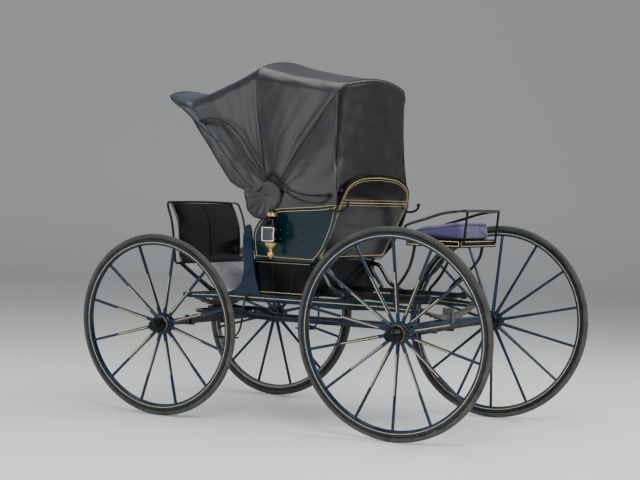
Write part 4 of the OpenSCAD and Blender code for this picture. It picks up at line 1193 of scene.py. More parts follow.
    def skirt(self) -> None:
        """The leather below the hood's sides, nailed along the body's top edge."""
        x = np.linspace(965, 506, 90)
        top = np.interp(x, [506, 580, 880, 965], [1352, 1334, 1296, 1290])
        low = np.interp(x, [506, 560, 620, 760, 860, 930, 965], [1262, 1256, 1249, 1238, 1230, 1217, 1205])
        low, top = (np.convolve(np.pad(v, 6, mode="edge"), np.ones(13) / 13, "valid") for v in (low, top))
        u = np.linspace(0, 1, 12)[:, None]
        z = top * (1 - u) + low * u
        fold = 0.7 * np.sin(x / 23)[None] * np.sin(np.pi * u) + 0.5 * np.sin(x / 9 + 5 * u)
        y = 458.6 + 3.4 * np.sin(np.pi * u * 0.5) + fold * 0.5
        for side in (1, -1):
            p = np.stack([C.xr + np.broadcast_to(x, z.shape) * MM, side * y * MM, z * MM], -1)
            q = p - np.array([0, side * 0.0018, 0])
            s = Shape()
            s.grid(p, Paint.HOOD)
            s.grid(q, Paint.LINING, flip=True)
            s.edges(p, q, Paint.HOOD)
            s.tube(p[-1] + [0, side * 0.0008, 0.001], 0.0026, Paint.BLACK, hint=(0, 1, 0), sides=8)
            s.strip(p[-1] + [0, side * 0.0034, 0.0], (0, side, 0), 0.0024, Paint.GOLD, 0.0005)
            word = "left" if side > 0 else "right"
            obj = keep(s.build(f"hood_skirt_{word}", 60), "carriage", "hood_leather")

    def peak(self) -> None:
        """The stiff patent peak: full reach over the top, fading down the sides, with a bound edge.

        E(v) = front bow + (reach f, 0, rise f^2), f = 0.07 + 0.93 sin(pi v)^0.6; the leather bows up between
        by an arc of 6 mm.
        """
        line = smooth_path(FRONT.line(self.lift + 0.0002)[2:-2], self.steps)
        k = np.sin(np.linspace(0, math.pi, len(line)))
        f = 0.07 + 0.93 * np.clip(k, 0, None) ** 0.6
        edge = line + np.stack([0.190 * f, 0 * f, 0.034 * f * f], 1)
        u = np.linspace(0, 1, 12)[:, None, None]
        p = (1 - u) * line + u * edge + np.array([0.001, 0, 0.0004])
        n = np.cross(np.gradient(p, axis=1), np.gradient(p, axis=0))
        n /= np.linalg.norm(n, axis=2, keepdims=True) + 1e-12
        if np.mean(np.sum(n * (p - np.array([C.px, 0, C.pivot_z])), 2)) < 0:
            n = -n
        p = p + n * (0.006 * np.sin(np.pi * u) * f[None, :, None])
        s = Shape()
        inner = p - n * 0.0026
        s.grid(p, Paint.PEAK)
        s.grid(inner, Paint.PATENT, flip=True)
        s.edges(p, inner, Paint.PATENT)
        s.tube(p[-1] - n[-1] * 0.0013, 0.0042, Paint.PATENT, hint=(1, 0, 0.3), sides=10)
        s.tube(p[-2] * 0.75 + p[-3] * 0.25 + n[-2] * 0.0004, 0.0011, Paint.PATENT, hint=(1, 0, 0.3), sides=6)
        keep(s.build("peak_leather", 50), "front_bow", "patent_leather", "hood_peak")

    def gather(self, side: int) -> None:
        """The loose leather puffed out between the front bow's foot and the seat's arm.

        About the hood's pivot its rim is at R(t), and a point at share u of R stands out by a flat dome
        that rolls in at the rim; folds run out from the pivot and deepen towards the rim. Above the
        pivot the dome dips under the hood's side.

        Args:
            side: 1 for left, -1 for right.
        """
        turn = np.radians([62, 44, 30, 15, -1.5, -21, -38, -54, -74, -92, -106, -125, -150, -298])
        reach = np.array([100, 182, 184, 170, 157, 158, 159, 158, 141, 129, 99, 88, 84, 84]) * MM
        t = np.linspace(turn[0], turn[-1], 180, endpoint=False)
        r = np.interp(-t, -turn, reach)
        r = np.convolve(np.pad(r, 3, mode="wrap"), np.ones(7) / 7, "valid")
        u = np.array([0.02, 0.1, 0.2, 0.3, 0.4, 0.5, 0.6, 0.7, 0.79, 0.87, 0.93, 0.975, 1.0, 0.99, 0.95,
                      0.9])[:, None]
        high = np.array([15, 16, 17, 19, 22, 25, 28, 30.5, 31.5, 30, 26.5, 20, 9, 1, -5, -9])[:, None] * MM
        lobe = np.exp(-((t - math.radians(-38)) / 0.95) ** 2)
        fold = np.sin(7 * t + 1.6 * np.sin(3 * t + u)) + 0.45 * np.sin(15 * t + 3 * u)
        rad = u * r * (1 + 0.012 * np.sin(8 * t + 0.6) * lobe)
        deep = 0.0046 * lobe * np.clip(1.5 * u - 0.25, 0, 1) * np.clip(2.6 - 2 * u, 0, 1)
        y = 0.4705 + (high - 0.015) * (0.12 + 1.0 * lobe) + deep * fold * (high > 0)
        rise = np.clip((t - math.radians(2)) / math.radians(30), 0, 1)
        y = y - 0.011 * rise * rise * (3 - 2 * rise)
        x = C.px + rad * np.cos(t)
        z = C.pivot_z + rad * np.sin(t)
        p = np.stack([x, y * np.ones_like(x), z], -1)
        n = np.cross(np.gradient(p, axis=1), np.gradient(p, axis=0))
        n /= np.linalg.norm(n, axis=2, keepdims=True) + 1e-12
        if np.mean(n[:8, :, 1]) < 0:
            n = -n
        if side < 0:
            p, n = p * [1, -1, 1], n * [1, -1, 1]
        s = Shape()
        inner = p - n * 0.0016
        s.grid(p, Paint.HOOD, wrap_v=True)
        s.grid(inner, Paint.LINING, wrap_v=True, flip=True)
        for at in (0, -1):
            s.grid(np.stack([p[at], inner[at]]), Paint.HOOD, wrap_v=True)
        word = "left" if side > 0 else "right"
        obj = keep(s.build(f"hood_puff_{word}", 60), "carriage", "hood_leather", f"hood_gather_{word}")
        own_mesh(obj)

    def build(self) -> None:
        """Builds the whole hood."""
        top = self.lift
        back_high = REAR.line(top) + np.array([-4.5, 0, -2]) * MM
        self.section("hood_quarter_back", body_line(0.0026), back_high, ("carriage", "rear_bow"),
                     "hood_back", 0.012,
                     [Crease([[420, 1440], [440, 1600], [470, 1760]], 0.004, 0.02),
                      Crease([[560, 1420], [500, 1560], [470, 1700]], 0.004, 0.016)], 0.0012, 0.4,
                      curtain=True)
        self.section("hood_roof_rear", REAR.line(top), MIDDLE.line(top), ("rear_bow", "middle_bow"),
                     "hood_top_rear", 0.016,
                     [Crease([[500, 1982], [620, 1830], [751, 1653], [830, 1500], [897, 1359]], 0.006, 0.014),
                      Crease([[620, 1960], [700, 1800], [800, 1620]], -0.004, 0.03),
                      Crease([[560, 1800], [690, 1640], [850, 1400]], -0.004, 0.022)], 0.0013, 1.7)
        self.section("hood_roof_front", MIDDLE.line(top), FRONT.line(top), ("middle_bow", "front_bow"),
                     "hood_top_front",
                     0.014, [Crease([[1092, 1990], [1070, 1800], [1030, 1640], [1002, 1471]], 0.006, 0.013),
                             Crease([[1180, 1960], [1150, 1780], [1080, 1600]], -0.005, 0.03),
                             Crease([[1380, 1860], [1260, 1700], [1100, 1520]], 0.004, 0.02)], 0.0013, 2.9)
        for bow in (REAR, MIDDLE, FRONT):
            self.ridge(bow)
        self.skirt()
        self.peak()
        for side in (1, -1):
            self.border(side)
            self.gather(side)


def lookup(p: Array, uv: Array, rows: int) -> Array:
    """Reads a grid between its points: u is 0..1 down the rows, v counts columns."""
    i = np.clip(uv[:, 0], 0, 1) * (rows - 1)
    j = np.clip(uv[:, 1], 0, p.shape[1] - 1.001)
    i = np.clip(i, 0, rows - 1.001)
    i0, j0 = i.astype(int), j.astype(int)
    fi, fj = (i - i0)[:, None], (j - j0)[:, None]
    return (p[i0, j0] * (1 - fi) * (1 - fj) + p[i0 + 1, j0] * fi * (1 - fj) + p[i0, j0 + 1] * (1 - fi) * fj
            + p[i0 + 1, j0 + 1] * fi * fj)


# ----------------------------------------------------------------------------- cushions


VOXEL, QUICK_VOXEL = 0.0062, 0.009
CLOTH_FRAMES, CLOTH_PRESSURE, CLOTH_MASS = 20, 4.0, 0.3


@dataclass
class Cushion:
    """A stuffed cushion in a side-view outline, blown up like cloth, then seamed and piped."""

    name: str
    node: str
    outline: Sequence[Sequence[float]]
    half: float
    cap: float
    fill: float
    top_seam: Sequence[int]
    tufts: Sequence[tuple[float, float, float]] = ()

    def base(self) -> bpy.types.Object:
        """The cut form: the outline carried across, its ends drawn in by (1 - t^14)^(1/4).

        Returns:
            A closed mesh.
        """
        q = rear(self.outline)
        mid = q.mean(0)
        closed = np.vstack([q, q[:1]])
        loop = spread(closed, 73)[:-1]
        loop = mid + (loop - mid) * (1 - 0.011 / (np.linalg.norm(loop - mid, axis=1)[:, None] + 0.02))
        t = np.sin(np.linspace(-math.pi / 2, math.pi / 2, 41))
        k = np.clip(1 - np.abs(t) ** 14, 0, 1) ** 0.25
        k[[0, -1]] = 0
        p = np.stack([mid[0] + (loop[None, :, 0] - mid[0]) * k[:, None],
                      np.repeat(t[:, None] * (self.half - 0.006), 72, 1),
                      mid[1] + (loop[None, :, 1] - mid[1]) * k[:, None]], -1)
        s = Shape()
        s.grid(p, Paint.CLOTH, wrap_v=True)
        return s.build(self.name, 180)

    def blow(self, obj: bpy.types.Object) -> None:
        """Blows the form up as cloth for twenty frames, holding each point within the cap.

        Args:
            obj: The cut form, changed in place.
        """
        make_modifier(obj, "REMESH", mode="VOXEL", voxel_size=VOXEL,
                      use_smooth_shade=True)
        apply_modifiers(obj)
        mesh = obj.data
        before = read_points(mesh)
        cloth = obj.modifiers.new("cloth", "CLOTH")
        cloth.settings.use_pressure = True
        cloth.settings.uniform_pressure_force = CLOTH_PRESSURE
        cloth.settings.effector_weights.gravity = 0.0
        cloth.settings.quality = 5
        cloth.settings.mass = CLOTH_MASS
        cloth.point_cache.frame_start, cloth.point_cache.frame_end = 1, CLOTH_FRAMES
        scene = bpy.context.scene
        for frame in range(1, CLOTH_FRAMES + 1):
            scene.frame_set(frame)
        view = obj.evaluated_get(bpy.context.evaluated_depsgraph_get())
        after = read_points(view.data)
        obj.modifiers.remove(cloth)
        scene.frame_set(1)
        move = after - before
        size = np.linalg.norm(move, axis=1, keepdims=True)
        before = before + move * np.minimum(1, self.cap / np.maximum(size, 1e-9))
        low, high = (np.array(c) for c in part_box(self.node))
        write_points(mesh, np.clip(before, low + 0.0004, high + [0.004, -0.0004, 0.012]))

    def seam_lines(self, obj: bpy.types.Object) -> list[Array]:
        """The loop along the cushion's upper edge, laid on the blown form."""
        tree = BVHTree.FromObject(obj, bpy.context.evaluated_depsgraph_get())
        q = rear(self.outline)
        a, b = self.top_seam
        return [self.loop_on(tree, q[a], q[b])]

    def loop_on(self, tree: object, one: Array, two: Array) -> Array:
        """A closed loop through two of the outline's corners, drawn down to the surface."""
        y = self.half - 0.012
        corner = np.array([[one[0], -y, one[1]], [one[0], y, one[1]], [two[0], y, two[1]],
                           [two[0], -y, two[1]]])
        line = np.vstack([np.linspace(corner[i], corner[(i + 1) % 4], 60, endpoint=False) for i in range(4)])
        mid = line.mean(0)
        line = mid + (line - mid) * 1.02
        found = np.array([tree.find_nearest(Vector(v))[0][:] for v in line])
        for _ in range(6):
            found = (np.roll(found, 1, 0) + found * 2 + np.roll(found, -1, 0)) / 4
        return found

    def seam(self, obj: bpy.types.Object, loops: Sequence[Array]) -> None:
        """Draws the cloth in along each loop by 2.6 exp(-(d / 7.5)^2) mm, and dents it at each tuft."""
        mesh = obj.data
        p = read_points(mesh)
        n = np.zeros(len(p) * 3)
        mesh.vertex_normals.foreach_get("vector", n)
        n = n.reshape(-1, 3)
        move = np.zeros(len(p))
        for loop in loops:
            d = np.min(np.linalg.norm(p[:, None] - loop[None, ::2], axis=2), 1)
            move += 0.0026 * np.exp(-(d / 0.0075) ** 2)
        for x, y, z in self.tufts:
            d = np.linalg.norm(p - np.array([C.xr + x * MM, y * MM, z * MM]), axis=1)
            move += 0.007 * np.exp(-(d / 0.016) ** 2) + 0.004 * np.exp(-(d / 0.04) ** 2)
        wrinkle = np.sin(p[:, 1] * 95 + 3 * np.sin(p[:, 0] * 31)) * np.sin(p[:, 0] * 61 + p[:, 2] * 47)
        edge = np.exp(-((np.abs(p[:, 1]) - self.half) / 0.05) ** 2)
        move += 0.0007 * wrinkle * (0.35 + edge)
        write_points(mesh, p - n * move[:, None])

    def build(self) -> None:
        """Builds the cushion, its piping and its buttons."""
        obj = self.base()
        self.blow(obj)
        loops = self.seam_lines(obj)
        self.seam(obj, loops)
        obj.data.polygons.foreach_set("use_smooth", np.ones(len(obj.data.polygons), bool))
        make_modifier(obj, "SUBSURF", levels=1, render_levels=1)
        apply_modifiers(obj)
        keep(obj, "carriage", "purple_cloth", self.node)
        s = Shape()
        for loop in loops:
            full = np.vstack([loop, loop[:1]])
            b, u = frames_along(full, (0, 0, 1))
            a = np.linspace(0, 2 * np.pi, 8, endpoint=False)
            path = full[:-1]
            ring = path[:, None] + 0.0034 * (np.cos(a)[None, :, None] * b[:-1, None] + np.sin(a)[None, :,
                    None] * u[:-1, None])
            s.grid(ring, Paint.PIPING, wrap_u=True, wrap_v=True)
        for x, y, z in self.tufts:
            s.lathe([[0, -0.002], [0.006, -0.002], [0.0075, 0], [0.006, 0.002], [0.003, 0.0032],
                     [0, 0.0034]], Paint.PIPING,
                    look_along((C.xr + x * MM, y * MM, z * MM - 0.002), (0, 0, 1)), 14)
        keep(s.build(f"{self.name}_piping", 60), "carriage", "purple_cloth")


def make_modifier(obj: bpy.types.Object, kind: str, **settings: object) -> bpy.types.Modifier:
    """Adds a modifier and sets its options."""
    mod = obj.modifiers.new(kind.lower(), kind)
    for key, value in settings.items():
        setattr(mod, key, value)
    return mod


def apply_modifiers(obj: bpy.types.Object) -> None:
    """Puts the result of every modifier into the object's mesh."""
    graph = bpy.context.evaluated_depsgraph_get()
    mesh = bpy.data.meshes.new_from_object(obj.evaluated_get(graph))
    paints = list(obj.data.materials)
    obj.modifiers.clear()
    obj.data = mesh
    if not mesh.materials:
        for m in paints:
            mesh.materials.append(m)


def read_points(mesh: bpy.types.Mesh) -> Array:
    """Vertex positions, one row each."""
    p = np.zeros(len(mesh.vertices) * 3)
    mesh.vertices.foreach_get("co", p)
    return p.reshape(-1, 3)


def write_points(mesh: bpy.types.Mesh, p: Array) -> None:
    """Sets vertex positions from rows."""
    mesh.vertices.foreach_set("co", p.reshape(-1))
    mesh.update()


# ----------------------------------------------------------------------------- body trim


@dataclass
class Body:
    """Mouldings, lining and small ironwork on the body and the undercarriage."""

    def panel_x(self, z: Array) -> Array:
        """Place of the back panel's outer face at height z."""
        curve = rear([[664, 929], [640, 948], [596, 1040], [546, 1150], [500, 1267], [480, 1350],
                      [470, 1450]])
        curve = smooth_path(curve, 8)
        order = np.argsort(curve[:, 1])
        return np.interp(z, curve[order, 1], curve[order, 0])

    def panel_lines(self, s: Shape) -> None:
        """Two gold lines inside the back panel's arched edge."""
        half = np.array([[412, 960], [424, 1098], [436, 1200], [440, 1247], [434, 1291], [410, 1351],
                         [362, 1391], [230, 1431],
                         [0, 1445]]) * MM
        for inset, width, low in ((0.018, 0.0042, 0.0), (0.032, 0.0022, 1.292), (0.030, 0.0018, 0.0)):
            arch = smooth_path(half, 10)
            t = np.gradient(arch, axis=0)
            t /= np.linalg.norm(t, axis=1)[:, None]
            arch = arch + np.stack([-t[:, 1], t[:, 0]], 1) * inset
            if low:
                arch = arch[arch[:, 1] > low]
            elif inset > 0.02:
                arch = arch[arch[:, 1] < 1.262]
            full = [np.vstack([arch, (arch * [-1, 1])[-2::-1]])] if low or inset < 0.02 else [arch,
                    arch * [-1, 1]]
            foot = arch[0, 1]
            bars = [np.linspace([-arch[0, 0], foot], [arch[0, 0], foot], 40)]
            if inset < 0.02:
                wide = np.interp(1.277, arch[:, 1], arch[:, 0])
                bars.append(np.linspace([-wide, 1.277], [wide, 1.277], 40))
            elif not low:
                bars.append(np.linspace([-arch[-1, 0], arch[-1, 1]], [arch[-1, 0], arch[-1, 1]], 40))
            for line in full + bars:
                x = self.panel_x(line[:, 1])
                dx = np.gradient(self.panel_x(np.linspace(0.93, 1.45, 200)), np.linspace(0.93, 1.45, 200))
                slope = np.interp(line[:, 1], np.linspace(0.93, 1.45, 200), dx)
                n = np.stack([-np.ones(len(line)), np.zeros(len(line)), slope], 1)
                s.strip(np.stack([x - 0.0002, line[:, 0], line[:, 1]], 1), n, width, Paint.GOLD, 0.0007)

    def rail_lines(self, s: Shape) -> None:
        """A cream line along both faces of each rail."""
        x = np.array([C.xr + 0.040, C.xr + 0.160, C.xr + 0.260, C.xr + 0.5, C.xf - 0.5, C.xf - 0.260,
                      C.xf - 0.150, C.xf - 0.04])
        z = np.array([0.698, 0.703, 0.706, 0.706, 0.706, 0.706, 0.703, 0.699])
        path = smooth_path(np.stack([x, z], 1), 8)
        for side in (1, -1):
            for face in (1, -1):
                y = side * (0.391 + face * 0.018)
                line = np.stack([path[:, 0], 0 * path[:, 0] + y, path[:, 1]], 1)
                s.strip(line, (0, side * face, 0), 0.004, Paint.CREAM, 0.0005)

    def tub_lines(self, s: Shape) -> None:
        """A fine gold line inside the edge of each tub side."""
        v = 1267 - 945 + 16
        shape = smooth_path([[664, 0], [600, 70], [560, 150], [524, 240], [504, v]], 6)
        rise = smooth_path([[504, v], [620, 320], [760, 310], [860, 302], [930, 288], [985, 256],
                            [1030, 210], [1058, 150],
                            [1058, 80], [1050, 0]], 6)
        loop = np.vstack([shape, rise[1:-1]])
        mid = loop.mean(0)
        t = np.gradient(np.vstack([loop[-1:], loop, loop[:1]]), axis=0)[1:-1]
        n = np.stack([t[:, 1], -t[:, 0]], 1)
        n /= np.linalg.norm(n, axis=1)[:, None]
        n *= np.sign(np.sum((mid - loop) * n, 1))[:, None]
        keep_in = loop + n * 15
        keep_in[:, 1] = np.maximum(keep_in[:, 1], 18)
        line = smooth_path(spread(np.vstack([keep_in, keep_in[:1]]), 90), 3)
        lean = math.atan2(28, 281)
        for side in (1, -1):
            y = 14.0 + 0 * line[:, 0]
            zz = line[:, 1]
            yy = 0.410 + (y * math.cos(lean) + zz * math.sin(lean)) * MM
            zz = 0.929 + (-y * math.sin(lean) + zz * math.cos(lean)) * MM
            p = np.stack([C.xr + line[:, 0] * MM, side * yy, zz], 1)
            s.strip(p, (0, side * math.cos(lean), -math.sin(lean)), 0.0028, Paint.GOLD, 0.0005)

    def board_lines(self, s: Shape) -> None:
        """Round-headed bolts in two rows of three on the tub sides, and beads along the boot's joints."""
        lean = math.atan2(28, 281)
        for side in (1, -1):
            for x in (0.727, 0.830):
                for z in (1.048, 1.090, 1.132):
                    y = 0.424 + (z - 0.929) * math.tan(lean)
                    place = look_along((C.xr + x, side * (y - 0.0008), z),
                                       (0, side * math.cos(lean), -math.sin(lean)))
                    s.lathe([[0, -0.002], [0.0075, -0.002], [0.0075, 0.0012], [0.005, 0.0036], [0, 0.0048]],
                            Paint.IRON, place, 16)
            for x in (0.700, 0.820, 0.945, 1.066):
                line = np.array([[C.xr + x, side * 0.394, z] for z in (0.735, 0.80, 0.86, 0.922)])
                s.strip(line, (0, side, 0), 0.003, Paint.IRON, 0.0006)
            for z in (0.742, 0.915):
                line = np.array([[C.xr + x, side * 0.394, z] for x in (0.700, 0.82, 0.94, 1.066)])
                s.strip(line, (0, side, 0), 0.0035, Paint.GOLD, 0.0006)

    def rumble_lines(self, s: Shape) -> None:
        """A cream line round the groom's seat box, inside its edges."""
        x0, x1, y, z0, z1 = C.xr - 0.168, C.xr + 0.164, 0.251, 1.050, 1.093
        for side in (1, -1):
            a, b = x0 + 0.010, x1 - 0.010
            loop = np.array([[a, z0 + 0.009], [b, z0 + 0.009], [b, z1 - 0.009], [a, z1 - 0.009],
                             [a, z0 + 0.009]])
            line = spread(loop, 80)
            s.strip(np.stack([line[:, 0], 0 * line[:, 0] + side * y, line[:, 1]], 1), (0, side, 0), 0.0035,
                    Paint.CREAM, 0.0006)
        for x, out in ((x0, -1), (x1, 1)):
            loop = np.array([[-y + 0.01, z0 + 0.009], [y - 0.01, z0 + 0.009], [y - 0.01, z1 - 0.009],
                             [-y + 0.01, z1 - 0.009],
                             [-y + 0.01, z0 + 0.009]])
            line = spread(loop, 110)
            s.strip(np.stack([0 * line[:, 0] + x, line[:, 0], line[:, 1]], 1), (out, 0, 0), 0.0035,
                    Paint.CREAM, 0.0006)

    def spring_clips(self, s: Shape) -> None:
        """Nuts on the clamp plates over both axles."""
        for x in (C.xr, C.xf):
            for side in (1, -1):
                place = look_along((x, side * (0.409 + 0.0158), 0.697), (0, side, 0))
                s.lathe([[0, -0.001], [0.0105, -0.001], [0.0105, 0.004], [0.008, 0.0075], [0.004, 0.009],
                         [0, 0.0094]],
                        Paint.IRON, place, 6)

    def iron_eyes(self, s: Shape) -> None:
        """Washers and domed nuts where irons are bolted to the body."""
        for side in (1, -1):
            place = look_along((C.px, side * 0.4612, C.pivot_z), (0, side, 0))
            s.lathe([[0, -0.001], [0.0125, -0.001], [0.0125, 0.003], [0.009, 0.006], [0.004, 0.0075],
                     [0, 0.0078]],
                    Paint.IRON, place, 20)
            place = look_along((C.xr + 0.558, side * 0.4792, 1.316), (0, side, 0))
            s.lathe([[0, -0.001], [0.0105, -0.001], [0.0105, 0.002], [0.0075, 0.005], [0, 0.0068]],
                    Paint.IRON, place, 20)

    def build(self) -> None:
        """Builds the trim."""
        s = Shape()
        for lay in (self.panel_lines, self.rail_lines, self.tub_lines, self.board_lines, self.rumble_lines,
                    self.spring_clips, self.iron_eyes):
            lay(s)
        keep(s.build("body_lining", 40), "carriage", "black_panel")


@dataclass
class Floor:
    """The ribbed mat on the floor boards."""

    def build(self) -> None:
        """Ribs run across the carriage: height 3.4 + 1.8 cos(2 pi x / 12 mm) mm, cut flat at both ends."""
        p0, p1, p2 = rear([[1078, 726.4], [1358, 726.8], [1585, 870]])
        path = spread(smooth_path([p0, (p0 * 0.4 + p1 * 0.6), p1 + [-0.004, 0.001], p1 + [0.016, 0.0125],
                                   p1 * 0.5 + p2 * 0.5, p2], 14), 420)
        run = np.concatenate([[0], np.cumsum(np.linalg.norm(np.diff(path, axis=0), axis=1))])
        t = np.gradient(path, axis=0)
        n = np.stack([-t[:, 1], t[:, 0]], 1)
        n /= np.linalg.norm(n, axis=1)[:, None]
        high = 0.0034 + 0.0018 * np.clip(1.6 * np.cos(2 * np.pi * run / 0.012), -1, 1)
        high[:8] = high[-8:] = 0.0046
        y = np.concatenate([[-0.349, -0.348], np.linspace(-0.338, 0.338, 24), [0.348, 0.349]])
        edge = np.ones(len(y))
        edge[[0, -1]] = 0.45
        top = path[:, None] + n[:, None] * (high[:, None] * edge[None])[..., None]
        p = np.stack([top[..., 0], np.broadcast_to(y, top.shape[:2]), top[..., 1]], -1)
        under = path + n * 0.0005
        q = np.stack([np.repeat(under[:, :1], len(y), 1), np.broadcast_to(y, (len(path), len(y))),
                      np.repeat(under[:, 1:], len(y), 1)], -1)
        s = Shape()
        s.grid(p, Paint.MAT)
        s.grid(q, Paint.MAT, flip=True)
        s.edges(p, q, Paint.MAT)
        obj = keep(s.build("ribbed_mat", 30), "carriage", "mat_rubber", "floor_mat")


@dataclass
class Dash:
    """Patent leather laced over the dash's iron frame, with a seam down its middle and stitches round it."""

    half: float = 0.3305

    def build(self) -> None:
        """Two faces 1.8 mm either side of the frame's curve, swelling 1.2 mm between seam and edges."""
        curve = rear([[1613, 890], [1628, 925], [1634, 1030], [1650, 1130], [1700, 1230]])
        path = spread(smooth_path(curve, 10), 70)
        t = np.gradient(path, axis=0)
        n = np.stack([-t[:, 1], t[:, 0]], 1)
        n /= np.linalg.norm(n, axis=1)[:, None]
        y = np.linspace(-self.half, self.half, 97)
        v = np.linspace(0, 1, 70)[:, None]
        swell = 0.0012 * (np.abs(np.sin(np.pi * y / self.half)) ** 0.5)[None] * (4 * v * (1 - v)) ** 0.3
        s = Shape()
        faces = []
        for k in (1, -1):
            off = k * (0.0018 + swell) + 0.0008 * k * np.exp(-(y / 0.004) ** 2)[None]
            c = path[:, None] + n[:, None] * off[..., None]
            p = np.stack([c[..., 0], np.broadcast_to(y, c.shape[:2]), c[..., 1]], -1)
            faces.append(p)
            s.grid(p, Paint.PATENT, flip=k < 0)
        p, q = faces
        s.edges(p, q, Paint.PATENT)
        mid = (p + q) / 2
        rim = np.vstack([mid[0], mid[1:, -1], mid[-1, -2::-1], mid[-2:0:-1, 0]])
        s.tube(np.vstack([rim, rim[:2]])[4:], 0.0044, Paint.PATENT, hint=(1, 0.2, 0.3), sides=10)
        for face in (p, q):
            s.tube(face[2:-2, 48], 0.0042, Paint.PATENT, hint=(0, 1, 0), sides=10)
        obj = keep(s.build("dash_skin", 50), "carriage", "patent_leather", "dash_leather")
        self.stitches(path, n)

    def stitches(self, path: Array, n: Array) -> None:
        """Short thread stitches in two rows by the seam and one row inside each edge."""
        s = Shape()
        run = spread(path, 64)
        m = np.stack([np.interp(np.linspace(0, 1, 64), np.linspace(0, 1, len(n)), n[:, k]) for k in (0, 1)],
                     1)
        for y in (-0.0065, 0.0065, -self.half + 0.014, self.half - 0.014):
            for k in (1, -1):
                for i in range(2, 61, 2):
                    c = run[i:i + 2] + m[i:i + 2] * k * 0.0031
                    line = np.array([[c[0, 0], y, c[0, 1]], [c[1, 0], y, c[1, 1]]])
                    line = line[0] + (line[1] - line[0]) * np.array([[0.0], [0.5], [1.0]])
                    s.strip(line, (m[i, 0] * k, 0, m[i, 1] * k), 0.0011, Paint.PIPING, 0.0004)
        keep(s.build("dash_stitching", 60), "carriage", "patent_leather")


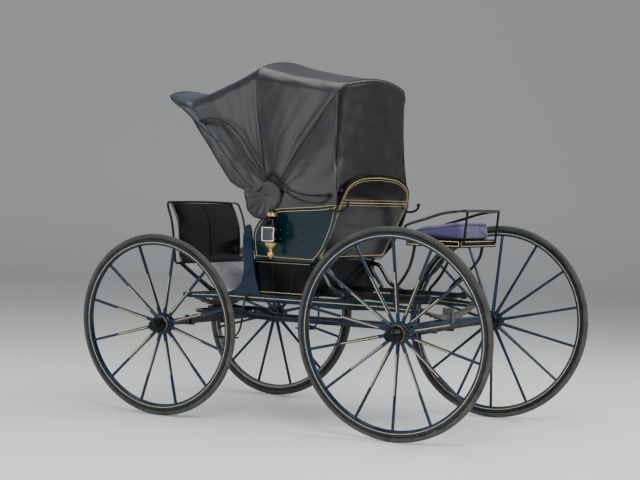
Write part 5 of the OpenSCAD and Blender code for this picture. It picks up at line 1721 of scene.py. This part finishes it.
@dataclass
class Lamp:
    """A square coach lamp: brass crown and tail, black case, silvered frames round bevelled glasses."""

    side: int

    def put(self, m: Matrix) -> Matrix:
        """Local places are given from the lamp's own middle, with Y outboard."""
        grow = Matrix.Diagonal((1.2, 1.14 * self.side, 1.05, 1))
        return Matrix.Translation((C.xr + 0.895, self.side * 0.508, -0.054)) @ grow @ m

    def lathe(self, s: Shape, profile: Sequence[Sequence[float]], paint: Paint, sides: int = 40) -> None:
        """A turned part on the lamp's own axis, sizes in millimetres."""
        s.lathe(np.asarray(profile, float) * MM, paint, self.put(Matrix.Identity(4)), sides)

    def frame(self, s: Shape, turn: float, reach: float) -> None:
        """One window: a bevelled frame with its glass and two cross beads."""
        m = self.put(Matrix.Rotation(turn, 4, "Z") @ Matrix.Translation((reach, 0, 1.082)))
        for y in (-0.0315, 0.0315):
            s.block((0.004, 0.007, 0.080), m @ Matrix.Translation((0, y, 0)), Paint.SILVER, 0.0014)
        for z in (-0.0365, 0.0365):
            s.block((0.004, 0.064, 0.007), m @ Matrix.Translation((0, 0, z)), Paint.SILVER, 0.0014)
        s.block((0.0022, 0.058, 0.068), m @ Matrix.Translation((-0.0018, 0, 0)), Paint.GLASS, 0.0008)

    def build(self) -> None:
        """Builds the lamp."""
        s = Shape()
        self.lathe(s, [[0, 948], [3, 948.6], [4.2, 951], [6, 953], [12, 956.5], [16.5, 962], [18.6, 969],
                       [18.6, 975],
                       [16.5, 982], [12, 987.5], [8, 990], [7.4, 993], [8.5, 996], [12.5, 997.5],
                       [13, 1000], [12.5, 1003],
                       [16, 1007], [23, 1012], [29.5, 1020], [33.5, 1030], [34, 1034], [36, 1034.5],
                       [36, 1037.5],
                       [0, 1037.5]], Paint.BRASS)
        base = self.put(Matrix.Translation((0, 0, 1.040)))
        s.block((0.077, 0.077, 0.006), base, Paint.BLACK, 0.0015)
        s.block((0.074, 0.074, 0.005), self.put(Matrix.Translation((0, 0, 1.1255))), Paint.BLACK, 0.0015)
        for x in (-0.0335, 0.0335):
            for y in (-0.0335, 0.0335):
                s.block((0.0068, 0.0068, 0.082), self.put(Matrix.Translation((x, y, 1.083))), Paint.BLACK,
                        0.0012)
        s.block((0.003, 0.068, 0.082), self.put(Matrix.Translation((-0.0352, 0, 1.083))), Paint.BLACK, 0.001)
        s.block((0.068, 0.003, 0.082), self.put(Matrix.Translation((0, -0.0352, 1.083))), Paint.BLACK, 0.001)
        self.frame(s, 0.0, 0.0362)
        self.frame(s, math.pi / 2, 0.0362)
        for y in (-0.022, 0.022):
            for z in (1.058, 1.108):
                s.lathe([[0, -0.001], [0.0042, -0.001], [0.0042, 0.0006], [0.0028, 0.0018], [0, 0.0022]],
                        Paint.BRASS,
                        self.put(look_along((-0.0366, y, z), (-1, 0, 0), (0, 0, 1))), 14)
        self.lathe(s, [[0, 1043], [9, 1043], [9, 1047], [6.5, 1048], [6.5, 1052], [5.6, 1052], [5.6, 1090],
                       [4.8, 1091.5], [0, 1092]],
                   Paint.WAX, 20)
        s.lathe([[0.0045, 0], [0.016, 0.0035], [0.025, 0.010], [0.0262, 0.0095], [0.0165, 0.0022],
                 [0.0045, -0.0014]], Paint.SILVER,
                self.put(look_along((-0.031, 0, 1.085), (1, 0, 0), (0, 0, 1))), 28)
        self.lathe(s, [[0, 1127.5], [37.5, 1127.5], [38, 1129], [37, 1131], [34, 1133], [31.5, 1139],
                       [27.5, 1147], [26.5, 1150],
                       [28.5, 1151], [28.5, 1153.5], [25, 1154.5], [24.2, 1156], [24.2, 1172], [25.4, 1173],
                       [27.5, 1174.5],
                       [27.5, 1176.5], [24.5, 1178], [0, 1178]], Paint.BLACK)
        for k in range(10):
            a = 2 * math.pi * k / 10
            c = (0.0243 * math.cos(a), 0.0243 * math.sin(a), 1.1635)
            s.block((0.0012, 0.005, 0.011), self.put(Matrix.Translation(c) @ Matrix.Rotation(a, 4, "Z")),
                    Paint.IRON, 0.0005)
        self.lathe(s, [[0, 1178.2], [22, 1178.2], [29, 1180], [30, 1183], [26.5, 1186], [26, 1189],
                       [29, 1193], [28.5, 1197],
                       [22, 1200.5], [15, 1202], [9, 1202.5], [7.5, 1204], [4, 1205.8], [0, 1206]],
                       Paint.BRASS)
        arm = self.put(Matrix.Identity(4))
        path = transform(smooth_path(np.array([[0, -0.0352, 1.075], [0, -0.045, 1.074],
                                               [0, -0.0575, 1.070]]), 6), arm)
        s.tube(path, 0.0085, Paint.IRON, hint=(1, 0, 0), sides=14)
        s.block((0.030, 0.003, 0.044), self.put(Matrix.Translation((0, -0.0372, 1.075))), Paint.IRON, 0.001)
        word = "left" if self.side > 0 else "right"
        keep(s.build(f"coach_lamp_{word}", 32), "carriage", "lamp_brass", f"lamp_{word}")


@dataclass
class Step:
    """A forged step: a tapering stem that curls under a ribbed tread."""

    side: int

    def build(self) -> None:
        """Builds the step."""
        s = Shape()
        line = np.vstack([rear([[1105, 409.9, 702], [1105, 413, 702]]),
                          smooth_path(rear([[1105, 417, 702], [1105, 428, 698], [1104, 450, 640],
                                            [1104, 462, 560],
                                            [1116, 470, 505], [1150, 470, 474], [1200, 470, 467.5]]), 8)])
        r = np.interp(np.linspace(0, 1, len(line)), [0, 0.05, 0.12, 0.6, 1],
                      [0.0075, 0.0075, 0.0078, 0.0068, 0.0052])
        s.tube(line, r, Paint.IRON, hint=(1, 0, 0), sides=14, flat=0.85)
        s.lathe([[0.0, 0], [0.013, 0], [0.013, 0.003], [0.009, 0.006], [0.0078, 0.0066], [0, 0.0066]],
                Paint.IRON,
                look_along(line[0], (0, 1, 0)), 22)
        x0, x1, y0, y1 = C.xr + 1.1305, C.xr + 1.2595, 0.4205, 0.5295
        a = np.linspace(0, 2 * np.pi, 72, endpoint=False)
        c = np.array([(x0 + x1) / 2, (y0 + y1) / 2])
        e = 5.0
        form = 1 / (np.abs(np.cos(a)) ** e + np.abs(np.sin(a)) ** e) ** (1 / e)
        rim = np.stack([(x1 - x0) / 2 * form * np.cos(a), (y1 - y0) / 2 * form * np.sin(a)], 1)
        rows = [(0.0, 0.4625), (0.93, 0.4625), (0.985, 0.4635), (1.0, 0.4655), (1.0, 0.4685),
                (0.985, 0.4699), (0.95, 0.4699),
                (0.93, 0.4684), (0.0, 0.4684)]
        s.grid(np.stack([np.hstack([c + rim * k, np.full((72, 1), z)]) for k, z in rows]), Paint.IRON,
               wrap_v=True)
        for i in range(9):
            x = x0 + 0.014 + i * 0.0126
            s.block((0.0045, 0.088, 0.0022), Matrix.Translation((x, c[1], 0.4690)), Paint.IRON, 0.0008)
        obj = s.build("step", 40)
        if self.side < 0:
            p = read_points(obj.data)
            write_points(obj.data, p * [1, -1, 1])
            obj.data.flip_normals()
        word = "left" if self.side > 0 else "right"
        obj.name = f"carriage_step_{word}"
        keep(obj, "carriage", "black_iron", f"step_{word}")


@dataclass(frozen=True)
class Iron:
    """A double S-shaped bar of the hood's side irons, from its pivot to the knuckle."""

    node: str
    body: str
    y: float
    outer: Sequence[Sequence[float]]
    inner: Sequence[Sequence[float]]

    def build(self) -> None:
        """Two drawn bars that meet at forged eyes with domed rivets."""
        s = Shape()
        for side in (1, -1):
            for k, path in enumerate((self.outer, self.inner)):
                q = smooth_path(rear(path), 10)
                line = np.stack([q[:, 0], 0 * q[:, 0] + side * self.y, q[:, 1]], 1)
                r = 0.0056 - 0.0012 * np.sin(np.pi * np.linspace(0, 1, len(line)))
                s.tube(line, r * (1.0 if k == 0 else 0.82), Paint.IRON, hint=(0, 1, 0), sides=14, flat=0.66)
            for x, z in (rear([self.outer[0]])[0], rear([self.outer[-1]])[0]):
                place = look_along((x, side * self.y, z), (0, side, 0))
                s.lathe([[0, -0.0038], [0.0125, -0.0038], [0.0138, -0.002], [0.0138, 0.002],
                         [0.0125, 0.0038], [0.0095, 0.0040],
                         [0.0092, 0.0052], [0.0072, 0.0072], [0.0035, 0.0084], [0, 0.0086]], Paint.IRON,
                         place, 28)
        keep(s.build(f"forged_{self.node}", 40), self.body, "black_iron", self.node)


IRONS = [
    Iron("landau_lower", "lower_irons", 0.4738,
         [[558, 1316], [600, 1316], [663, 1314], [722, 1319], [780, 1331], [840, 1354], [905, 1392],
          [943, 1421]],
         [[558, 1316], [570, 1288], [604, 1274], [661, 1272], [720, 1280], [779, 1298], [839, 1331],
          [905, 1380], [943, 1421]]),
    Iron("landau_upper", "upper_irons", 0.4824,
         [[1417.4, 1728.3], [1370, 1741], [1314, 1740], [1227, 1711], [1139, 1636], [1075, 1554],
          [1012, 1473], [968, 1434],
          [943, 1421]],
         [[1417.4, 1728.3], [1380, 1722], [1326, 1714], [1238, 1681], [1163, 1622], [1099, 1540],
          [1035, 1462], [980, 1424],
          [943, 1421]]),
]


NODE_PAINT = {
    Paint.IRON: ["front_axle", "rear_axle", "shaft_couplings", "fifth_wheel", "seat_bars", "body_irons",
                 "hood_rests",
                 "dash_irons", "rumble_rail", "rumble_irons"],
    Paint.PATENT: ["bow_rear", "bow_middle", "bow_front"],
    Paint.BLUE: ["front_bed", "rear_bed", "perch", "rail_left", "rail_right", "pillars"],
    Paint.BLACK: ["boot", "back_panel", "floor_boards", "rumble_board"],
    Paint.TEAL: ["tub_left", "tub_right"],
    Paint.STEEL: ["front_spring", "rear_spring"],
}


def paint_nodes(nodes: dict[str, bpy.types.Object]) -> None:
    """Gives each frame node that stays its finish."""
    for paint, names in NODE_PAINT.items():
        for name in names:
            obj = nodes[name]
            if not obj.material_slots:
                obj.data.materials.append(MATERIALS[paint])
            for slot in obj.material_slots:
                slot.material = MATERIALS[paint]


# ----------------------------------------------------------------------------- studio


VIEW_YAW = math.radians(-61.09)


def studio() -> None:
    """Pale floor and backdrop in one sweep, and soft lights."""
    u = np.linspace(0, 1, 60)
    run = np.stack([np.interp(u, [0, 0.55, 0.62, 0.72, 0.8, 1], [14, -12.5, -14.5, -15.9, -16.5, -16.5]),
                    np.interp(u, [0, 0.55, 0.62, 0.72, 0.8, 1], [0, 0, 0.12, 0.9, 2.2, 9])], 1)
    line = smooth_path(spread(run, 24), 6)
    w = np.linspace(-22, 22, 30)
    away = np.array([math.cos(VIEW_YAW), math.sin(VIEW_YAW)])
    across = np.array([-away[1], away[0]])
    p = np.stack([-line[:, None, 0] * away[0] + w[None] * across[0],
                  -line[:, None, 0] * away[1] + w[None] * across[1],
                  np.repeat(line[:, 1:], len(w), 1)], -1)
    s = Shape()
    s.grid(p, Paint.CREAM)
    floor = s.build("studio_floor", 180)
    mat = bpy.data.materials.new("studio_pale")
    mat.use_nodes = True
    n = Nodes(mat.node_tree)
    skin = n.add("BsdfPrincipled", {"Base Color": (0.72, 0.72, 0.71, 1), "Roughness": 0.9})
    n.add("OutputMaterial", {0: skin.outputs[0]})
    floor.data.materials[0] = mat
    world = bpy.data.worlds.new("studio_air")
    bpy.context.scene.world = world
    world.use_nodes = True
    world.node_tree.nodes["Background"].inputs[0].default_value = (0.86, 0.9, 0.96, 1)
    world.node_tree.nodes["Background"].inputs[1].default_value = 0.34
    for name, place, aim, size, power in (
            ("key", (-3.5, 5.0, 5.2), (0, 0, 0.9), 3.5, 420),
            ("fill", (4.5, 5.5, 3.0), (0, 0, 0.9), 4.0, 170),
            ("back", (-4.5, -3.5, 4.2), (0, 0, 1.1), 3.0, 230),
            ("top", (0.3, 0.0, 5.6), (0, 0, 0.5), 4.0, 190)):
        lamp = bpy.data.lights.new(name, "AREA")
        lamp.size, lamp.energy = size, power
        obj = bpy.data.objects.new(f"studio_{name}", lamp)
        obj.matrix_world = look_along(place, np.array(place) - np.array(aim), (0, 0, 1))
        bpy.context.scene.collection.objects.link(obj)


def camera() -> None:
    """The camera stands to the left and behind, a little above the seat, and leans two degrees."""
    yaw, pitch, roll = VIEW_YAW, math.radians(1.75), math.radians(2.04)
    f = Vector((math.cos(yaw) * math.cos(pitch), math.sin(yaw) * math.cos(pitch), -math.sin(pitch)))
    r = f.cross(Vector((0, 0, 1))).normalized()
    u = r.cross(f)
    r, u = math.cos(roll) * r + math.sin(roll) * u, -math.sin(roll) * r + math.cos(roll) * u
    cam = bpy.data.cameras.new("view")
    cam.sensor_fit, cam.sensor_width, cam.lens = "HORIZONTAL", 36.0, 93.47
    cam.clip_end = 60
    obj = bpy.data.objects.new("view", cam)
    m = Matrix((r, u, -f)).transposed().to_4x4()
    m.translation = Vector((-3.9346 + C.xr, 8.6783, 1.3488))
    obj.matrix_world = m
    bpy.context.scene.collection.objects.link(obj)
    bpy.context.scene.camera = obj


CUSHIONS = [
    Cushion("seat_squab", "seat_cushion", [[692, 947], [1049, 947], [1049, 1030], [1040, 1046], [870, 1050],
                                           [702, 1044],
                                           [692, 1030]], 0.399, 0.009, 0.7, (6, 2)),
    Cushion("back_squab", "seat_back", [[621, 1053], [689, 1053], [682, 1100], [610, 1340], [600, 1351],
                                        [540, 1351],
                                        [531, 1340]], 0.384, 0.010, 0.65, (5, 4)),
    Cushion("groom_squab", "rumble_cushion", [[-159, 1095], [159, 1095], [159, 1138], [60, 1163],
                                              [-148, 1188]], 0.238,
            0.008, 0.7, (4, 2)),
]


def main() -> None:
    """Builds every piece in order, dresses the frame's nodes and sets up the studio."""
    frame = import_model()
    make_finishes()
    camera()
    studio()
    for wheel in (Wheel("front_left", "wheel_fl", C.xf, C.front_r, C.track_front, 1, 12, 0.055),
                  Wheel("front_right", "wheel_fr", C.xf, C.front_r, C.track_front, -1, 12, 0.055),
                  Wheel("rear_left", "wheel_rl", C.xr, C.rear_r, C.track_rear, 1, 14, 0.070),
                  Wheel("rear_right", "wheel_rr", C.xr, C.rear_r, C.track_rear, -1, 14, 0.070)):
        wheel.dress()
    Hood().build()
    for cushion in CUSHIONS:
        cushion.build()
    Body().build()
    Floor().build()
    Dash().build()
    for side in (1, -1):
        Lamp(side).build()
        Step(side).build()
    for iron in IRONS:
        iron.build()
    paint_nodes(frame["nodes"])


if __name__ == "__main__":
    main()
